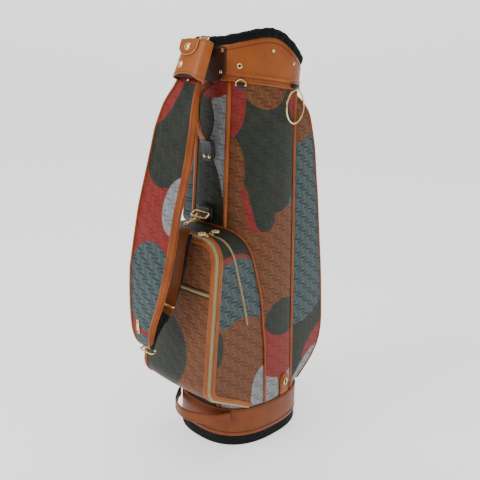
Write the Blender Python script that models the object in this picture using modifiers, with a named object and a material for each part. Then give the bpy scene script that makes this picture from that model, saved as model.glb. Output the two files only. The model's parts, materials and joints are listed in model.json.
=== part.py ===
"""Golf staff bag, built as an assembly of separate pieces.

The bag stands on its rubber boot at z = 0 with +Z up. The front, where the shoulder strap and
the ball pocket are, faces -Y. Round the oval body an angle phi is measured from the front
towards the right side (+X), so the right side is phi = 90 degrees. All sizes are in metres.
"""
import math

import bmesh
import bpy
from mathutils import Matrix, Vector

# ---- driving dimensions -------------------------------------------------------------------
GAP = 0.0003                      # clearance between touching pieces
OVAL = 2.5                        # exponent of the body's oval section
SEGMENTS = 48                     # points round the oval

BOOT_RX, BOOT_RY = 0.1153, 0.1328
BOOT_HEIGHT = 0.0227
BELT_TOP = 0.0904
BELT_THICK = 0.0025
WALL_BASE = (0.1125, 0.1295)      # half axes of the wall at the belt
WALL_TOP = (0.0935, 0.1025)       # half axes of the wall at the collar
WALL_THICK = 0.0025
WALL_TOP_Z = 0.790
SEAM_MID = 0.7785                 # height of the collar's lower seam at y = 0
SEAM_SLOPE = -0.13                # and how it falls towards the back
RIM_WAVE = (0.8494, 0.0273, -0.0160, -0.0053, 0.0020)   # cosine terms of the collar's top edge
LEFT_DROP = 0.032                       # how much lower the collar's left side is than its right

PANEL_TUCK = 0.008                # how far the panels reach up behind the collar
COLLAR_IN, COLLAR_OUT = 0.0008, 0.0033

FRONT_PIPING = math.radians(24)
REAR_PIPING = math.radians(121)
PIPING_RADIUS = 0.0028
FRAME_THICK = 0.003
RIM_RADIUS = 0.009
YOKE_THICK = 0.002
BAR_RADIUS = 0.008
FRONT_BAR_Y, REAR_BAR_Y, BAR_Z = -0.030, 0.036, 0.800

POCKET_HALF = 0.1085              # ball pocket: half width at its face
POCKET_NARROWING = 0.89           # and how its width shrinks from face to wall
POCKET_TOP = 0.492
POCKET_CORNER = 0.045
FACE_TOP_Y = -0.181               # its face leans: y at the top
FACE_HUB = (-0.165, 0.177)        # y, z of the round corner between its face and underside
FACE_RADIUS = 0.036
FACE_LOW = (FACE_HUB[0] - FACE_RADIUS, FACE_HUB[1])
FACE_LEAN = Vector((0, FACE_TOP_Y - FACE_LOW[0], POCKET_TOP - FACE_LOW[1])).normalized()
FRONT_LAYER = (0.0, 0.0067)       # depth of the front panel, the zip band and the gusset
ZIP_LAYER = (0.0070, 0.0130)
ZIP_INSET = 0.001                 # the zip band lies a little below the gusset's surface
SLIDER_LIFT = 0.0028              # middle of a zip slider above the surface it runs on
GUSSET_LAYER = 0.0133

GARMENT_LOW = (0.1695, 0.270)     # rear pocket: y, z at both ends of its straight zip
GARMENT_HIGH = (0.1230, 0.640)
SIDE_LOW = (-0.130, 0.490)        # left pocket: x, z at both ends of its straight zip
SIDE_HIGH = (-0.100, 0.730)
SIDE_FRONT_Y, SIDE_REAR_Y = -0.066, 0.045

STRAP_PIVOT_HIGH = Vector((0, -0.1325, 0.8640))   # where the strap's hooks hang in their rings
STRAP_PIVOT_LOW = Vector((0, -0.1382, 0.5150))

# ---- materials: colour, roughness, metallic -------------------------------------------------
FINISHES = {
    "tan_leather": ((0.42, 0.13, 0.035), 0.45, 0.0),
    "dark_leather": ((0.055, 0.018, 0.010), 0.40, 0.0),
    "black_leather": ((0.012, 0.012, 0.013), 0.35, 0.0),
    "gold": ((0.80, 0.58, 0.26), 0.22, 1.0),
    "coated_canvas": ((0.045, 0.055, 0.045), 0.50, 0.0),
    "teal_canvas": ((0.075, 0.110, 0.120), 0.50, 0.0),
    "brown_canvas": ((0.180, 0.075, 0.035), 0.50, 0.0),
    "red_canvas": ((0.250, 0.030, 0.022), 0.50, 0.0),
    "rubber": ((0.018, 0.018, 0.018), 0.70, 0.0),
    "plastic": ((0.030, 0.030, 0.032), 0.50, 0.0),
    "fleece": ((0.010, 0.011, 0.013), 0.95, 0.0),
    "lining": ((0.030, 0.030, 0.035), 0.80, 0.0),
    "aluminium": ((0.60, 0.60, 0.62), 0.35, 1.0),
    "zip_tape": ((0.55, 0.40, 0.18), 0.60, 0.0),
}


def clear_scene():
    for item in list(bpy.data.objects):
        bpy.data.objects.remove(item, do_unlink=True)


def make_collection(name):
    collection = bpy.data.collections.new(name)
    bpy.context.scene.collection.children.link(collection)
    return collection


def make_material(name):
    colour, roughness, metallic = FINISHES[name]
    material = bpy.data.materials.get(name) or bpy.data.materials.new(name)
    material.use_nodes = True
    shader = material.node_tree.nodes["Principled BSDF"]
    shader.inputs["Base Color"].default_value = (*colour, 1.0)
    shader.inputs["Roughness"].default_value = roughness
    shader.inputs["Metallic"].default_value = metallic
    return material


def add_part(name, data, finish):
    """Links a mesh or curve as one named part of the bag."""
    part = bpy.data.objects.new(name, data)
    BAG.objects.link(part)
    data.materials.append(make_material(finish))
    return part


def add_cutter(name, data):
    cutter = bpy.data.objects.new(name, data)
    CUTTERS.objects.link(cutter)
    cutter.hide_render = True
    cutter.display_type = "WIRE"
    return cutter


def cut(part, cutter, operation="DIFFERENCE"):
    modifier = part.modifiers.new(cutter.name, "BOOLEAN")
    modifier.object = cutter
    modifier.operation = operation
    modifier.solver = "EXACT"


def pivot_at(part, point):
    """Moves a part's origin to a point on its joint's axis without moving its shape."""
    part.data.transform(Matrix.Translation(-Vector(point)))
    part.location = point


# ---- the oval body ---------------------------------------------------------------------------
def oval_point(half_x, half_y, phi, z):
    s, c = math.sin(phi), math.cos(phi)
    reach = (abs(s / half_x) ** OVAL + abs(c / half_y) ** OVAL) ** (-1.0 / OVAL)
    return Vector((reach * s, -reach * c, z))


def wall_axes(z, offset=0.0):
    share = min(max((z - BELT_TOP) / (WALL_TOP_Z - BELT_TOP), 0.0), 1.0)
    return [low + share * (high - low) + offset for low, high in zip(WALL_BASE, WALL_TOP)]


def wall_point(phi, z, offset=0.0):
    return oval_point(*wall_axes(z, offset), phi, z)


def wall_frame(phi, z, offset=0.0):
    """Point on the wall, with its level tangent (ccw from above), outward normal and up."""
    step = 0.01
    point = wall_point(phi, z, offset)
    tangent = (wall_point(phi + step, z, offset) - wall_point(phi - step, z, offset)).normalized()
    up = Vector((0, 0, 1))
    return point, tangent, tangent.cross(up).normalized(), up


def seam_z(phi):
    return SEAM_MID + SEAM_SLOPE * wall_point(phi, WALL_TOP_Z).y


def rim_z(phi):
    """Height of the collar's top edge: higher on the right side than on the left."""
    return (sum(term * math.cos(k * phi) for k, term in enumerate(RIM_WAVE))
            - LEFT_DROP * min(math.sin(phi), 0) ** 2)


def full_turn(count=SEGMENTS):
    return [2 * math.pi * i / count for i in range(count)]


# ---- mesh builders ---------------------------------------------------------------------------
def mesh_from(name, points, faces):
    mesh = bpy.data.meshes.new(name)
    mesh.from_pydata([tuple(p) for p in points], [], faces)
    mesh.update()
    return mesh


def loft(name, rings, finish):
    """Closed solid through equal rings, each counter-clockwise seen from the last one."""
    count = len(rings[0])
    points = [p for ring in rings for p in ring]
    faces = [list(reversed(range(count)))]
    for k in range(len(rings) - 1):
        for i in range(count):
            j = (i + 1) % count
            faces.append([k * count + i, k * count + j, (k + 1) * count + j, (k + 1) * count + i])
    faces.append([(len(rings) - 1) * count + i for i in range(count)])
    return add_part(name, mesh_from(name, points, faces), finish)


def band(name, profile, finish, count=SEGMENTS):
    """Closed ring round the body; profile(phi) goes up outside, in, down inside."""
    rings = [profile(phi) for phi in full_turn(count)]
    size = len(rings[0])
    points = [p for ring in rings for p in ring]
    faces = []
    for i in range(count):
        j = (i + 1) % count
        for k in range(size):
            m = (k + 1) % size
            faces.append([i * size + k, j * size + k, j * size + m, i * size + m])
    return add_part(name, mesh_from(name, points, faces), finish)


def shell(name, phis, levels, offset, thickness, finish):
    """Wall panel between the angles phis; levels(phi) gives its heights from foot to top."""
    points, faces = [], []
    rows = len(levels(phis[0])) - 1
    for phi in phis:
        for z in levels(phi):
            points.append(wall_point(phi, z, offset))
    for i in range(len(phis) - 1):
        for j in range(rows):
            a, b = i * (rows + 1) + j, (i + 1) * (rows + 1) + j
            faces.append([a, b, b + 1, a + 1])
    part = add_part(name, mesh_from(name, points, faces), finish)
    solidify = part.modifiers.new("thickness", "SOLIDIFY")
    solidify.thickness = thickness
    solidify.offset = -1.0
    return part


def spread(start, stop, count):
    return [start + (stop - start) * i / count for i in range(count + 1)]


def wire(name, points, radius, finish, closed=False, resolution=2):
    """Round wire or tube through the points, with filled ends."""
    data = bpy.data.curves.new(name, "CURVE")
    data.dimensions = "3D"
    spline = data.splines.new("POLY")
    spline.points.add(len(points) - 1)
    for slot, point in zip(spline.points, points):
        slot.co = (*point, 1.0)
    spline.use_cyclic_u = closed
    data.bevel_depth = radius
    data.bevel_resolution = resolution
    data.use_fill_caps = not closed
    return add_part(name, data, finish)


def smooth_path(points, steps=4):
    """Catmull-Rom curve through the points."""
    path = []
    ends = [2 * points[0] - points[1]] + list(points) + [2 * points[-1] - points[-2]]
    for k in range(1, len(ends) - 2):
        p0, p1, p2, p3 = ends[k - 1:k + 3]
        for i in range(steps):
            t = i / steps
            path.append(0.5 * (2 * p1 + (p2 - p0) * t + (2 * p0 - 5 * p1 + 4 * p2 - p3) * t * t
                               + (3 * p1 - p0 - 3 * p2 + p3) * t ** 3))
    path.append(points[-1].copy())
    return path


def rounded_loop(centre, side, up, width, height, corner, per_corner=4):
    """Points of a rounded rectangle in the plane of side and up."""
    points = []
    for quarter, (sx, sy) in enumerate(((1, 1), (-1, 1), (-1, -1), (1, -1))):
        hub = (sx * (width / 2 - corner), sy * (height / 2 - corner))
        for i in range(per_corner + 1):
            angle = math.pi / 2 * (quarter + i / per_corner)
            x = hub[0] + corner * math.cos(angle)
            y = hub[1] + corner * math.sin(angle)
            points.append(centre + side * x + up * y)
    return points


def ribbon(name, path, widths, thicknesses, finish, side=Vector((1, 0, 0)), corners=4, power=8):
    """Flat strap or pad along a path; widths and thicknesses are given at each point."""
    rings = []
    for k, point in enumerate(path):
        ahead = (path[min(k + 1, len(path) - 1)] - path[max(k - 1, 0)]).normalized()
        across = (side - ahead * side.dot(ahead)).normalized()
        normal = ahead.cross(across)
        ring = []
        for i in range(corners * 2):
            angle = math.pi / (corners * 2) + math.pi * i / corners
            c, s = math.cos(angle), math.sin(angle)
            reach = (abs(c) ** power + abs(s) ** power) ** (-1.0 / power)
            ring.append(point + across * (reach * c * widths[k] / 2)
                        + normal * (reach * s * thicknesses[k] / 2))
        rings.append(ring)
    return loft(name, rings, finish)


def block(name, centre, axes, size, finish, bevel=0.0):
    """Box whose length, depth and height lie along the three axes."""
    mesh = bpy.data.meshes.new(name)
    cage = bmesh.new()
    bmesh.ops.create_cube(cage, size=1.0)
    turn = Matrix([axis.normalized() for axis in axes]).transposed().to_4x4()
    place = Matrix.Translation(centre) @ turn @ Matrix.Diagonal((*size, 1.0))
    bmesh.ops.transform(cage, matrix=place, verts=cage.verts)
    if place.determinant() < 0:
        bmesh.ops.reverse_faces(cage, faces=cage.faces)
    cage.to_mesh(mesh)
    cage.free()
    part = add_part(name, mesh, finish)
    if bevel:
        rounding = part.modifiers.new("rounding", "BEVEL")
        rounding.width = bevel
        rounding.segments = 1
    return part


def prism(name, outline, axis, low, high, narrowing=1.0):
    """Closed mesh of a flat outline swept from low to high along X or Y.

    For axis "X" the outline is (y, z), and for axis "Y" it is (x, z). The outline's first
    coordinate is multiplied by narrowing at the high end.
    """
    def lift(a, b, c):
        return Vector((c, a, b)) if axis == "X" else Vector((a, c, b))
    count = len(outline)
    points = [lift(a, b, low) for a, b in outline]
    points += [lift(a * narrowing, b, high) for a, b in outline]
    faces = [list(range(count)), list(range(2 * count - 1, count - 1, -1))]
    for i in range(count):
        j = (i + 1) % count
        faces.append([j, i, count + i, count + j])
    mesh = mesh_from(name, points, faces)
    cage = bmesh.new()
    cage.from_mesh(mesh)
    bmesh.ops.recalc_face_normals(cage, faces=cage.faces)
    cage.to_mesh(mesh)
    cage.free()
    return mesh


def arc(centre, radius, start, stop, count):
    """Points of an arc, angles in degrees."""
    turns = [math.radians(a) for a in spread(start, stop, count)]
    return [(centre[0] + radius * math.cos(a), centre[1] + radius * math.sin(a)) for a in turns]


# ---- base --------------------------------------------------------------------------------------
def oval_ring(half_x, half_y, z):
    return [oval_point(half_x, half_y, phi, z) for phi in full_turn()]


def make_base():
    wall, floor, chamfer = 0.004, 0.005, 0.003
    loft("base_boot", [
        oval_ring(BOOT_RX - chamfer, BOOT_RY - chamfer, 0.0),
        oval_ring(BOOT_RX, BOOT_RY, chamfer),
        oval_ring(BOOT_RX, BOOT_RY, BOOT_HEIGHT),
        oval_ring(BOOT_RX - wall, BOOT_RY - wall, BOOT_HEIGHT),
        oval_ring(BOOT_RX - wall, BOOT_RY - wall, floor)], "rubber")
    tray_x, tray_y = WALL_BASE[0] - WALL_THICK - 0.0007, WALL_BASE[1] - WALL_THICK - 0.0007
    loft("base_tray", [
        oval_ring(tray_x, tray_y, floor + GAP),
        oval_ring(tray_x, tray_y, 0.088),
        oval_ring(tray_x - 0.0025, tray_y - 0.0025, 0.088),
        oval_ring(tray_x - 0.0025, tray_y - 0.0025, 0.010)], "plastic")

    def belt_profile(phi):
        inner = 0.0005
        outer = inner + BELT_THICK
        return [wall_point(phi, BOOT_HEIGHT + GAP, outer), wall_point(phi, BELT_TOP, outer),
                wall_point(phi, BELT_TOP, inner), wall_point(phi, BOOT_HEIGHT + GAP, inner)]
    band("base_belt", belt_profile, "tan_leather")
    handle_path = smooth_path([Vector(p) for p in (
        (0.084, -0.1115, 0.074), (0.060, -0.141, 0.070), (0.000, -0.164, 0.064),
        (-0.050, -0.153, 0.064), (-0.078, -0.124, 0.068), (-0.0865, -0.109, 0.070))], 3)
    rings = []
    for k, point in enumerate(handle_path):
        ahead = (handle_path[min(k + 1, len(handle_path) - 1)] - handle_path[max(k - 1, 0)]).normalized()
        up = Vector((0, 0, 1))
        normal = ahead.cross(up).normalized()
        up = normal.cross(ahead)
        rings.append([point + normal * (sn * 0.0016) + up * (su * 0.012)
                      for sn, su in ((1, 1), (1, -1), (-1, -1), (-1, 1))])
    loft("base_handle", rings, "tan_leather")


# ---- body --------------------------------------------------------------------------------------
def make_panels():
    """Four wall panels, which meet at the pipings with a slot for the piping's round cord."""
    slot = math.asin((PIPING_RADIUS + GAP) / 0.100)

    def levels(phi):
        return [BOOT_HEIGHT + 0.004, BELT_TOP, 0.320, 0.560, seam_z(phi) + PANEL_TUCK]
    spans = (("front_panel", -FRONT_PIPING, FRONT_PIPING, 6, "coated_canvas"),
             ("right_panel", FRONT_PIPING, REAR_PIPING, 12, "teal_canvas"),
             ("rear_panel", REAR_PIPING, 2 * math.pi - REAR_PIPING, 14, "brown_canvas"),
             ("left_panel", 2 * math.pi - REAR_PIPING, 2 * math.pi - FRONT_PIPING, 12, "red_canvas"))
    for name, start, stop, columns, finish in spans:
        phis = spread(start + slot, stop - slot, columns)
        shell(name, phis, levels, 0.0, WALL_THICK, finish)
    for name, phi in (("front_right_piping", FRONT_PIPING), ("front_left_piping", -FRONT_PIPING),
                      ("rear_right_piping", REAR_PIPING), ("rear_left_piping", -REAR_PIPING)):
        top = seam_z(phi) - 0.0035
        path = [wall_point(phi, z, 0.0) for z in spread(BELT_TOP + 0.003, top, 5)]
        wire(name, path, PIPING_RADIUS, "tan_leather")


def make_collar():
    def collar_profile(phi):
        return [wall_point(phi, seam_z(phi), COLLAR_OUT), wall_point(phi, rim_z(phi), COLLAR_OUT),
                wall_point(phi, rim_z(phi), COLLAR_IN), wall_point(phi, seam_z(phi), COLLAR_IN)]
    band("collar_band", collar_profile, "tan_leather")

    def frame_profile(phi):
        outer = -WALL_THICK - 0.0005
        inner = outer - FRAME_THICK
        top, foot = rim_z(phi) - 0.004, 0.748
        return [wall_point(phi, foot, outer - 0.0011), wall_point(phi, WALL_TOP_Z, outer),
                wall_point(phi, top, outer), wall_point(phi, top, inner),
                wall_point(phi, foot, inner - 0.0011)]
    band("collar_frame", frame_profile, "plastic")

    def crown_point(phi):
        """Middle of the fleece roll, its radius away from the sloping edge under it."""
        step = 0.02
        run = (wall_point(phi + step, WALL_TOP_Z) - wall_point(phi - step, WALL_TOP_Z)).length
        slope = (rim_z(phi + step) - rim_z(phi - step)) / run
        lift = (RIM_RADIUS + 0.0008) * math.sqrt(1 + slope ** 2)
        return wall_point(phi, rim_z(phi) + lift, -0.0010)
    crown = [crown_point(phi) for phi in full_turn()]
    wire("rim_trim", crown, RIM_RADIUS, "fleece", closed=True)


def make_dividers():
    reach_front, reach_rear = 0.0830, 0.0812
    wire("front_divider_bar", [Vector((-reach_front, FRONT_BAR_Y, BAR_Z)),
                               Vector((reach_front, FRONT_BAR_Y, BAR_Z))], BAR_RADIUS, "fleece")
    wire("rear_divider_bar", [Vector((-reach_rear, REAR_BAR_Y, BAR_Z)),
                              Vector((reach_rear, REAR_BAR_Y, BAR_Z))], BAR_RADIUS, "fleece")
    clear = BAR_RADIUS + GAP
    wire("centre_divider_bar", [Vector((0, FRONT_BAR_Y + clear, BAR_Z)),
                                Vector((0, REAR_BAR_Y - clear, BAR_Z))], BAR_RADIUS, "fleece")
    x_axis, y_axis, z_axis = Vector((1, 0, 0)), Vector((0, 1, 0)), Vector((0, 0, 1))
    top = BAR_Z - BAR_RADIUS - 0.001
    foot = 0.0105
    for name, y in (("front_divider_sheet", FRONT_BAR_Y), ("rear_divider_sheet", REAR_BAR_Y)):
        block(name, Vector((0, y, (top + foot) / 2)), (x_axis, y_axis, z_axis),
              (0.150, 0.0016, top - foot), "lining")


def make_stays():
    """Two rods keep the collar frame above the base tray."""
    for name, side in (("right_stay_rod", 1), ("left_stay_rod", -1)):
        phi = side * math.radians(78)
        foot = wall_point(phi, 0.0885, -0.0078)
        head = wall_point(phi, 0.7475, -0.0078)
        wire(name, [foot, head], 0.004, "aluminium", resolution=3)


# ---- ball pocket ---------------------------------------------------------------------------------
def face_path(depth):
    """Side view of the pocket's face and underside, depth behind the outside: (y, z) points."""
    rise = 0.026
    top = (FACE_TOP_Y + rise * FACE_LEAN.y / FACE_LEAN.z + depth, POCKET_TOP + rise)
    low = arc(FACE_HUB, FACE_RADIUS - depth, 180, 180 + 53, 4)
    end = low[-1]
    run = (end[1] - 0.060) / math.sin(math.radians(37))
    foot = (end[0] + run * math.cos(math.radians(37)), 0.060)
    return [top] + low + [foot]


def arch(inset):
    """Front view of the pocket: (x, z) points, counter-clockwise."""
    half, top, foot = POCKET_HALF - inset, POCKET_TOP - inset, BELT_TOP + 0.0008
    corner = POCKET_CORNER - inset
    hub_z = top - corner
    right = arc((half - corner, hub_z), corner, 0, 90, 6)
    left = arc((-(half - corner), hub_z), corner, 90, 180, 6)
    return [(-half, foot), (half, foot)] + right + left


def arch_hub_x(y):
    """Middle of the arch's round corner, sideways, at a depth y."""
    share = (y - FACE_LOW[0] + 0.001) / (0.02 - FACE_LOW[0] + 0.001)
    return (POCKET_HALF - POCKET_CORNER) * (1 + (POCKET_NARROWING - 1) * share)


def pocket_layer(name, outline, inset, finish, body_core):
    side = prism(name, outline, "X", -0.130, 0.130)
    part = add_part(name, side, finish)
    view = prism(name + "_arch", arch(inset), "Y", FACE_LOW[0] - 0.001, 0.02, POCKET_NARROWING)
    cut(part, add_cutter(name + "_arch", view), "INTERSECT")
    cut(part, body_core)
    return part


def make_ball_pocket(body_core):
    outer, inner = face_path(FRONT_LAYER[0]), face_path(FRONT_LAYER[1])
    pocket_layer("ball_pocket_front", outer + inner[::-1], 0.002, "brown_canvas", body_core)
    outer, inner = face_path(ZIP_LAYER[0]), face_path(ZIP_LAYER[1])
    pocket_layer("ball_pocket_zip", outer + inner[::-1], ZIP_INSET, "zip_tape", body_core)
    outer = face_path(GUSSET_LAYER)
    back_edge = [(-0.035, 0.060), (-0.037, 0.235), (-0.045, 0.311), (-0.055, 0.384), (-0.065, 0.421),
                 (-0.077, 0.452), (-0.090, 0.477), (-0.100, 0.492), (-0.100, POCKET_TOP + 0.026)]
    outline = outer + back_edge
    pocket_layer("ball_pocket_gusset", outline, 0.0, "teal_canvas", body_core)


def make_slider(name, centre, along, outward, pull_direction, pull_length):
    """Zip slider with its pull tab; the pull hangs from a pivot just off the slider's face."""
    across = along.cross(outward)
    block(name + "_slider", centre, (along, across, outward), (0.011, 0.008, 0.0045), "gold", 0.0012)
    pivot_at(bpy.data.objects[name + "_slider"], centre)
    pivot = centre + outward * 0.0042
    hang = pull_direction.normalized()
    side = hang.cross(outward)
    centre_pull = pivot + hang * (pull_length / 2 - 0.001)
    pull = block(name + "_pull", centre_pull, (hang, side, outward), (pull_length, 0.0075, 0.0015),
                 "gold", 0.0005)
    pivot_at(pull, pivot)


def make_pocket_zips():
    lean = FACE_LEAN
    face_out = Vector((0, -lean.z, lean.y))
    x_axis, z_axis = Vector((1, 0, 0)), Vector((0, 0, 1))
    zip_y = FACE_TOP_Y + sum(ZIP_LAYER) / 2
    main_start = Vector((arch_hub_x(zip_y), zip_y, POCKET_TOP - ZIP_INSET + SLIDER_LIFT))
    make_slider("main", main_start, x_axis, z_axis, Vector((0, -1, 0)), 0.022)
    gusset_y = zip_y + 0.014
    gusset_start = Vector((arch_hub_x(gusset_y), gusset_y, POCKET_TOP + SLIDER_LIFT))
    make_slider("gusset", gusset_start, x_axis, z_axis, Vector((0.9, 0.45, 0)), 0.018)
    front_z = 0.379
    front_y = FACE_TOP_Y - (POCKET_TOP - front_z) * lean.y / lean.z
    make_slider("front", Vector((-0.060, front_y, front_z)) + face_out * SLIDER_LIFT,
                x_axis, face_out, -lean, 0.024)


def make_garment_pocket(body_core):
    """Tall pocket on the back between the two rear pipings."""
    (low_y, low_z), (high_y, high_z) = GARMENT_LOW, GARMENT_HIGH
    side_view = [(0.020, 0.0915), (0.062, 0.0915), (0.082, 0.112), (0.117, 0.144), (0.146, 0.178),
                 (0.162, 0.212), (0.1690, 0.240), (low_y, low_z), (high_y, high_z),
                 (0.1125, 0.678), (0.098, 0.709), (0.078, 0.738), (0.058, 0.758), (0.020, 0.758)]
    rear_view = [(-0.0985, 0.080), (0.0985, 0.080), (0.0975, 0.250), (0.0865, 0.700), (0.080, 0.735),
                 (0.066, 0.752), (0.045, 0.757), (-0.045, 0.757), (-0.066, 0.752), (-0.080, 0.735),
                 (-0.0865, 0.700), (-0.0975, 0.250)]
    pocket = add_part("garment_pocket", prism("garment_pocket", side_view, "X", -0.15, 0.15), "teal_canvas")
    cutter = add_cutter("garment_outline", prism("garment_outline", rear_view, "Y", 0.0, 0.2))
    cut(pocket, cutter, "INTERSECT")
    cut(pocket, body_core)
    down = Vector((0, low_y - high_y, low_z - high_z)).normalized()
    outward = Vector((0, -down.z, down.y))
    start = Vector((0.074, high_y, high_z)) + down * 0.008 + outward * SLIDER_LIFT
    make_slider("garment", start, down, outward, down, 0.024)


def make_side_pocket(body_core):
    """Accessory pocket on the left side."""
    (low_x, low_z), (high_x, high_z) = SIDE_LOW, SIDE_HIGH
    rear_view = [(-0.050, 0.462), (-0.108, 0.462), (-0.122, 0.467), (-0.1285, 0.476), (low_x, low_z),
                 (high_x, high_z), (-0.094, 0.748), (-0.085, 0.757), (-0.050, 0.757)]
    corner = 0.018
    side_view = (arc((SIDE_FRONT_Y + corner, 0.462 + corner), corner, 180, 270, 4)
                 + arc((SIDE_REAR_Y - corner, 0.462 + corner), corner, 270, 360, 4)
                 + arc((SIDE_REAR_Y - corner, 0.757 - corner), corner, 0, 90, 4)
                 + arc((SIDE_FRONT_Y + corner, 0.757 - corner), corner, 90, 180, 4))
    pocket = add_part("side_pocket", prism("side_pocket", rear_view, "Y", -0.15, 0.15), "brown_canvas")
    cutter = add_cutter("side_outline", prism("side_outline", side_view, "X", -0.2, 0.0))
    cut(pocket, cutter, "INTERSECT")
    cut(pocket, body_core)
    down = Vector((low_x - high_x, 0, low_z - high_z)).normalized()
    outward = Vector((down.z, 0, -down.x))
    start = Vector((high_x, 0.020, high_z)) + down * 0.014 + outward * SLIDER_LIFT
    make_slider("side", start, down, outward, down, 0.022)


# ---- fittings on the wall ------------------------------------------------------------------------
def make_badge():
    """Leather tab that stands up from the belt, with an oval ring on it."""
    middle, half = math.radians(106), 0.0145

    def top(phi):
        lateral = (phi - middle) * 0.112 / half
        return 0.126 + 0.016 * math.sqrt(max(1 - lateral ** 2, 0.0))
    reach = half / 0.112
    phis = [middle + reach * math.sin(a) for a in spread(-math.pi / 2, math.pi / 2, 8)]
    shell("badge_tab", phis, lambda phi: [BELT_TOP + GAP * 2, top(phi)], 0.0028, 0.0022, "tan_leather")
    point, tangent, normal, up = wall_frame(middle, 0.122, 0.0028 + 0.0016)
    outline = rounded_loop(point, tangent, up, 0.0105, 0.0145, 0.0050)
    wire("badge_ring", outline, 0.0014, "gold", closed=True)


def make_yoke():
    """Dark leather patch on the collar that carries the strap's upper ring."""
    half = math.radians(21)

    def levels(phi):
        return [0.7865 + 0.016 * (abs(phi) / half) ** 3, 0.830, rim_z(phi) - 0.002]
    shell("front_yoke", spread(-half, half, 10), levels, COLLAR_OUT + GAP + YOKE_THICK, YOKE_THICK,
          "dark_leather")


def make_ring_fittings():
    x_axis, y_axis, z_axis = Vector((1, 0, 0)), Vector((0, 1, 0)), Vector((0, 0, 1))
    face_y = -WALL_TOP[1] - COLLAR_OUT - YOKE_THICK - 2 * GAP
    tab_path = [Vector((0, face_y - 0.0020, 0.8370)), Vector((0, face_y - 0.0027, 0.8490)),
                Vector((0, face_y - 0.0065, 0.8605)), Vector((0, -0.1212, 0.8690))]
    ribbon("upper_ring_tab", tab_path, [0.014] * 4, [0.0030] * 4, "dark_leather")
    inner_bar = Vector((0, -0.1228, 0.8712))
    reach = STRAP_PIVOT_HIGH - inner_bar
    wire("upper_ring", rounded_loop((inner_bar + STRAP_PIVOT_HIGH) / 2, x_axis, reach.normalized(),
                                    0.026, reach.length, 0.004), 0.0018, "gold", closed=True)
    panel_y = -wall_axes(0.522)[1]
    block("lower_ring_tab", Vector((0, panel_y - 0.0048, 0.522)), (x_axis, y_axis, z_axis),
          (0.046, 0.0080, 0.034), "black_leather", 0.0015)
    inner_bar = Vector((0, panel_y - 0.0112, 0.5240))
    reach = STRAP_PIVOT_LOW - inner_bar
    wire("lower_ring", rounded_loop((inner_bar + STRAP_PIVOT_LOW) / 2, x_axis, reach.normalized(),
                                    0.044, reach.length, 0.004), 0.0020, "gold", closed=True)
    phi = math.radians(110.5)
    point, tangent, normal, up = wall_frame(phi, 0.7815, COLLAR_OUT + GAP)
    block("towel_tab", point + normal * 0.0062, (tangent, normal, up), (0.016, 0.0118, 0.009),
          "black_leather", 0.001)
    hang = Vector((-0.165, 0.986, 0)).normalized()
    centre = point + normal * 0.0075 + Vector((0, 0, -0.0415))
    ring = wire("towel_ring", [centre + hang * (0.034 * math.cos(a)) + z_axis * (0.034 * math.sin(a))
                               for a in full_turn(28)], 0.0019, "gold", closed=True)
    pivot_at(ring, centre + z_axis * 0.034)
    phi = math.radians(37)
    point, tangent, normal, up = wall_frame(phi, 0.7815, COLLAR_OUT + GAP)
    block("clip_tab", point + normal * 0.0024 + up * -0.0035, (tangent, normal, up),
          (0.015, 0.0040, 0.0085), "black_leather", 0.0008)
    bar = point + normal * 0.0026 + up * 0.0025
    arch_points = [bar + tangent * (0.0105 * math.cos(a)) + up * (0.0115 * math.sin(a))
                   for a in spread(0, math.pi, 10)]
    ring = wire("clip_ring", arch_points, 0.0014, "gold", closed=True)
    pivot_at(ring, bar)


def make_carry_handle():
    top_y = -WALL_TOP[1]
    path = smooth_path([Vector(p) for p in (
        (0, top_y - 0.0045, 0.7805), (0, -0.1240, 0.7715), (0, -0.138, 0.750), (0, -0.1395, 0.722),
        (0, -0.130, 0.694), (0, -0.1185, 0.6745))], 3)
    count = len(path)
    ribbon("carry_handle", path, [0.026] * count, [0.0055] * count, "tan_leather")
    panel_y = -wall_axes(0.652)[1]
    x_axis = Vector((1, 0, 0))
    path = [Vector((0, panel_y - 0.0030, 0.6300)), Vector((0, panel_y - 0.0035, 0.650)),
            Vector((0, panel_y - 0.0055, 0.664)), Vector((0, panel_y - 0.0080, 0.6725))]
    ribbon("handle_chape", path, [0.030, 0.040, 0.040, 0.032], [0.0040, 0.0050, 0.0070, 0.0060],
           "black_leather", side=x_axis)


# ---- shoulder strap ------------------------------------------------------------------------------
def make_strap_pad():
    """Wide pad; each station is its height, face depth, sideways shift, width and thickness."""
    stations = (
        (0.800, -0.159, 0.000, 0.056, 0.010),
        (0.775, -0.171, 0.000, 0.064, 0.014),
        (0.745, -0.185, 0.000, 0.084, 0.018),
        (0.700, -0.198, 0.000, 0.101, 0.021),
        (0.640, -0.212, 0.000, 0.107, 0.022),
        (0.590, -0.226, 0.000, 0.108, 0.022),
        (0.540, -0.240, 0.000, 0.108, 0.022),
        (0.480, -0.252, 0.000, 0.108, 0.022),
        (0.420, -0.264, -0.001, 0.104, 0.022),
        (0.375, -0.268, -0.006, 0.090, 0.021),
        (0.330, -0.268, -0.015, 0.070, 0.020),
        (0.290, -0.267, -0.020, 0.054, 0.018),
        (0.268, -0.264, -0.020, 0.042, 0.014),
        (0.258, -0.261, -0.020, 0.024, 0.010))
    path = [Vector((x, y, z)) for z, y, x, width, thick in reversed(stations)]
    widths = [width for z, y, x, width, thick in reversed(stations)]
    thicks = [thick for z, y, x, width, thick in reversed(stations)]
    ribbon("strap_pad", path, widths, thicks, "coated_canvas", corners=6, power=4)


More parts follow.
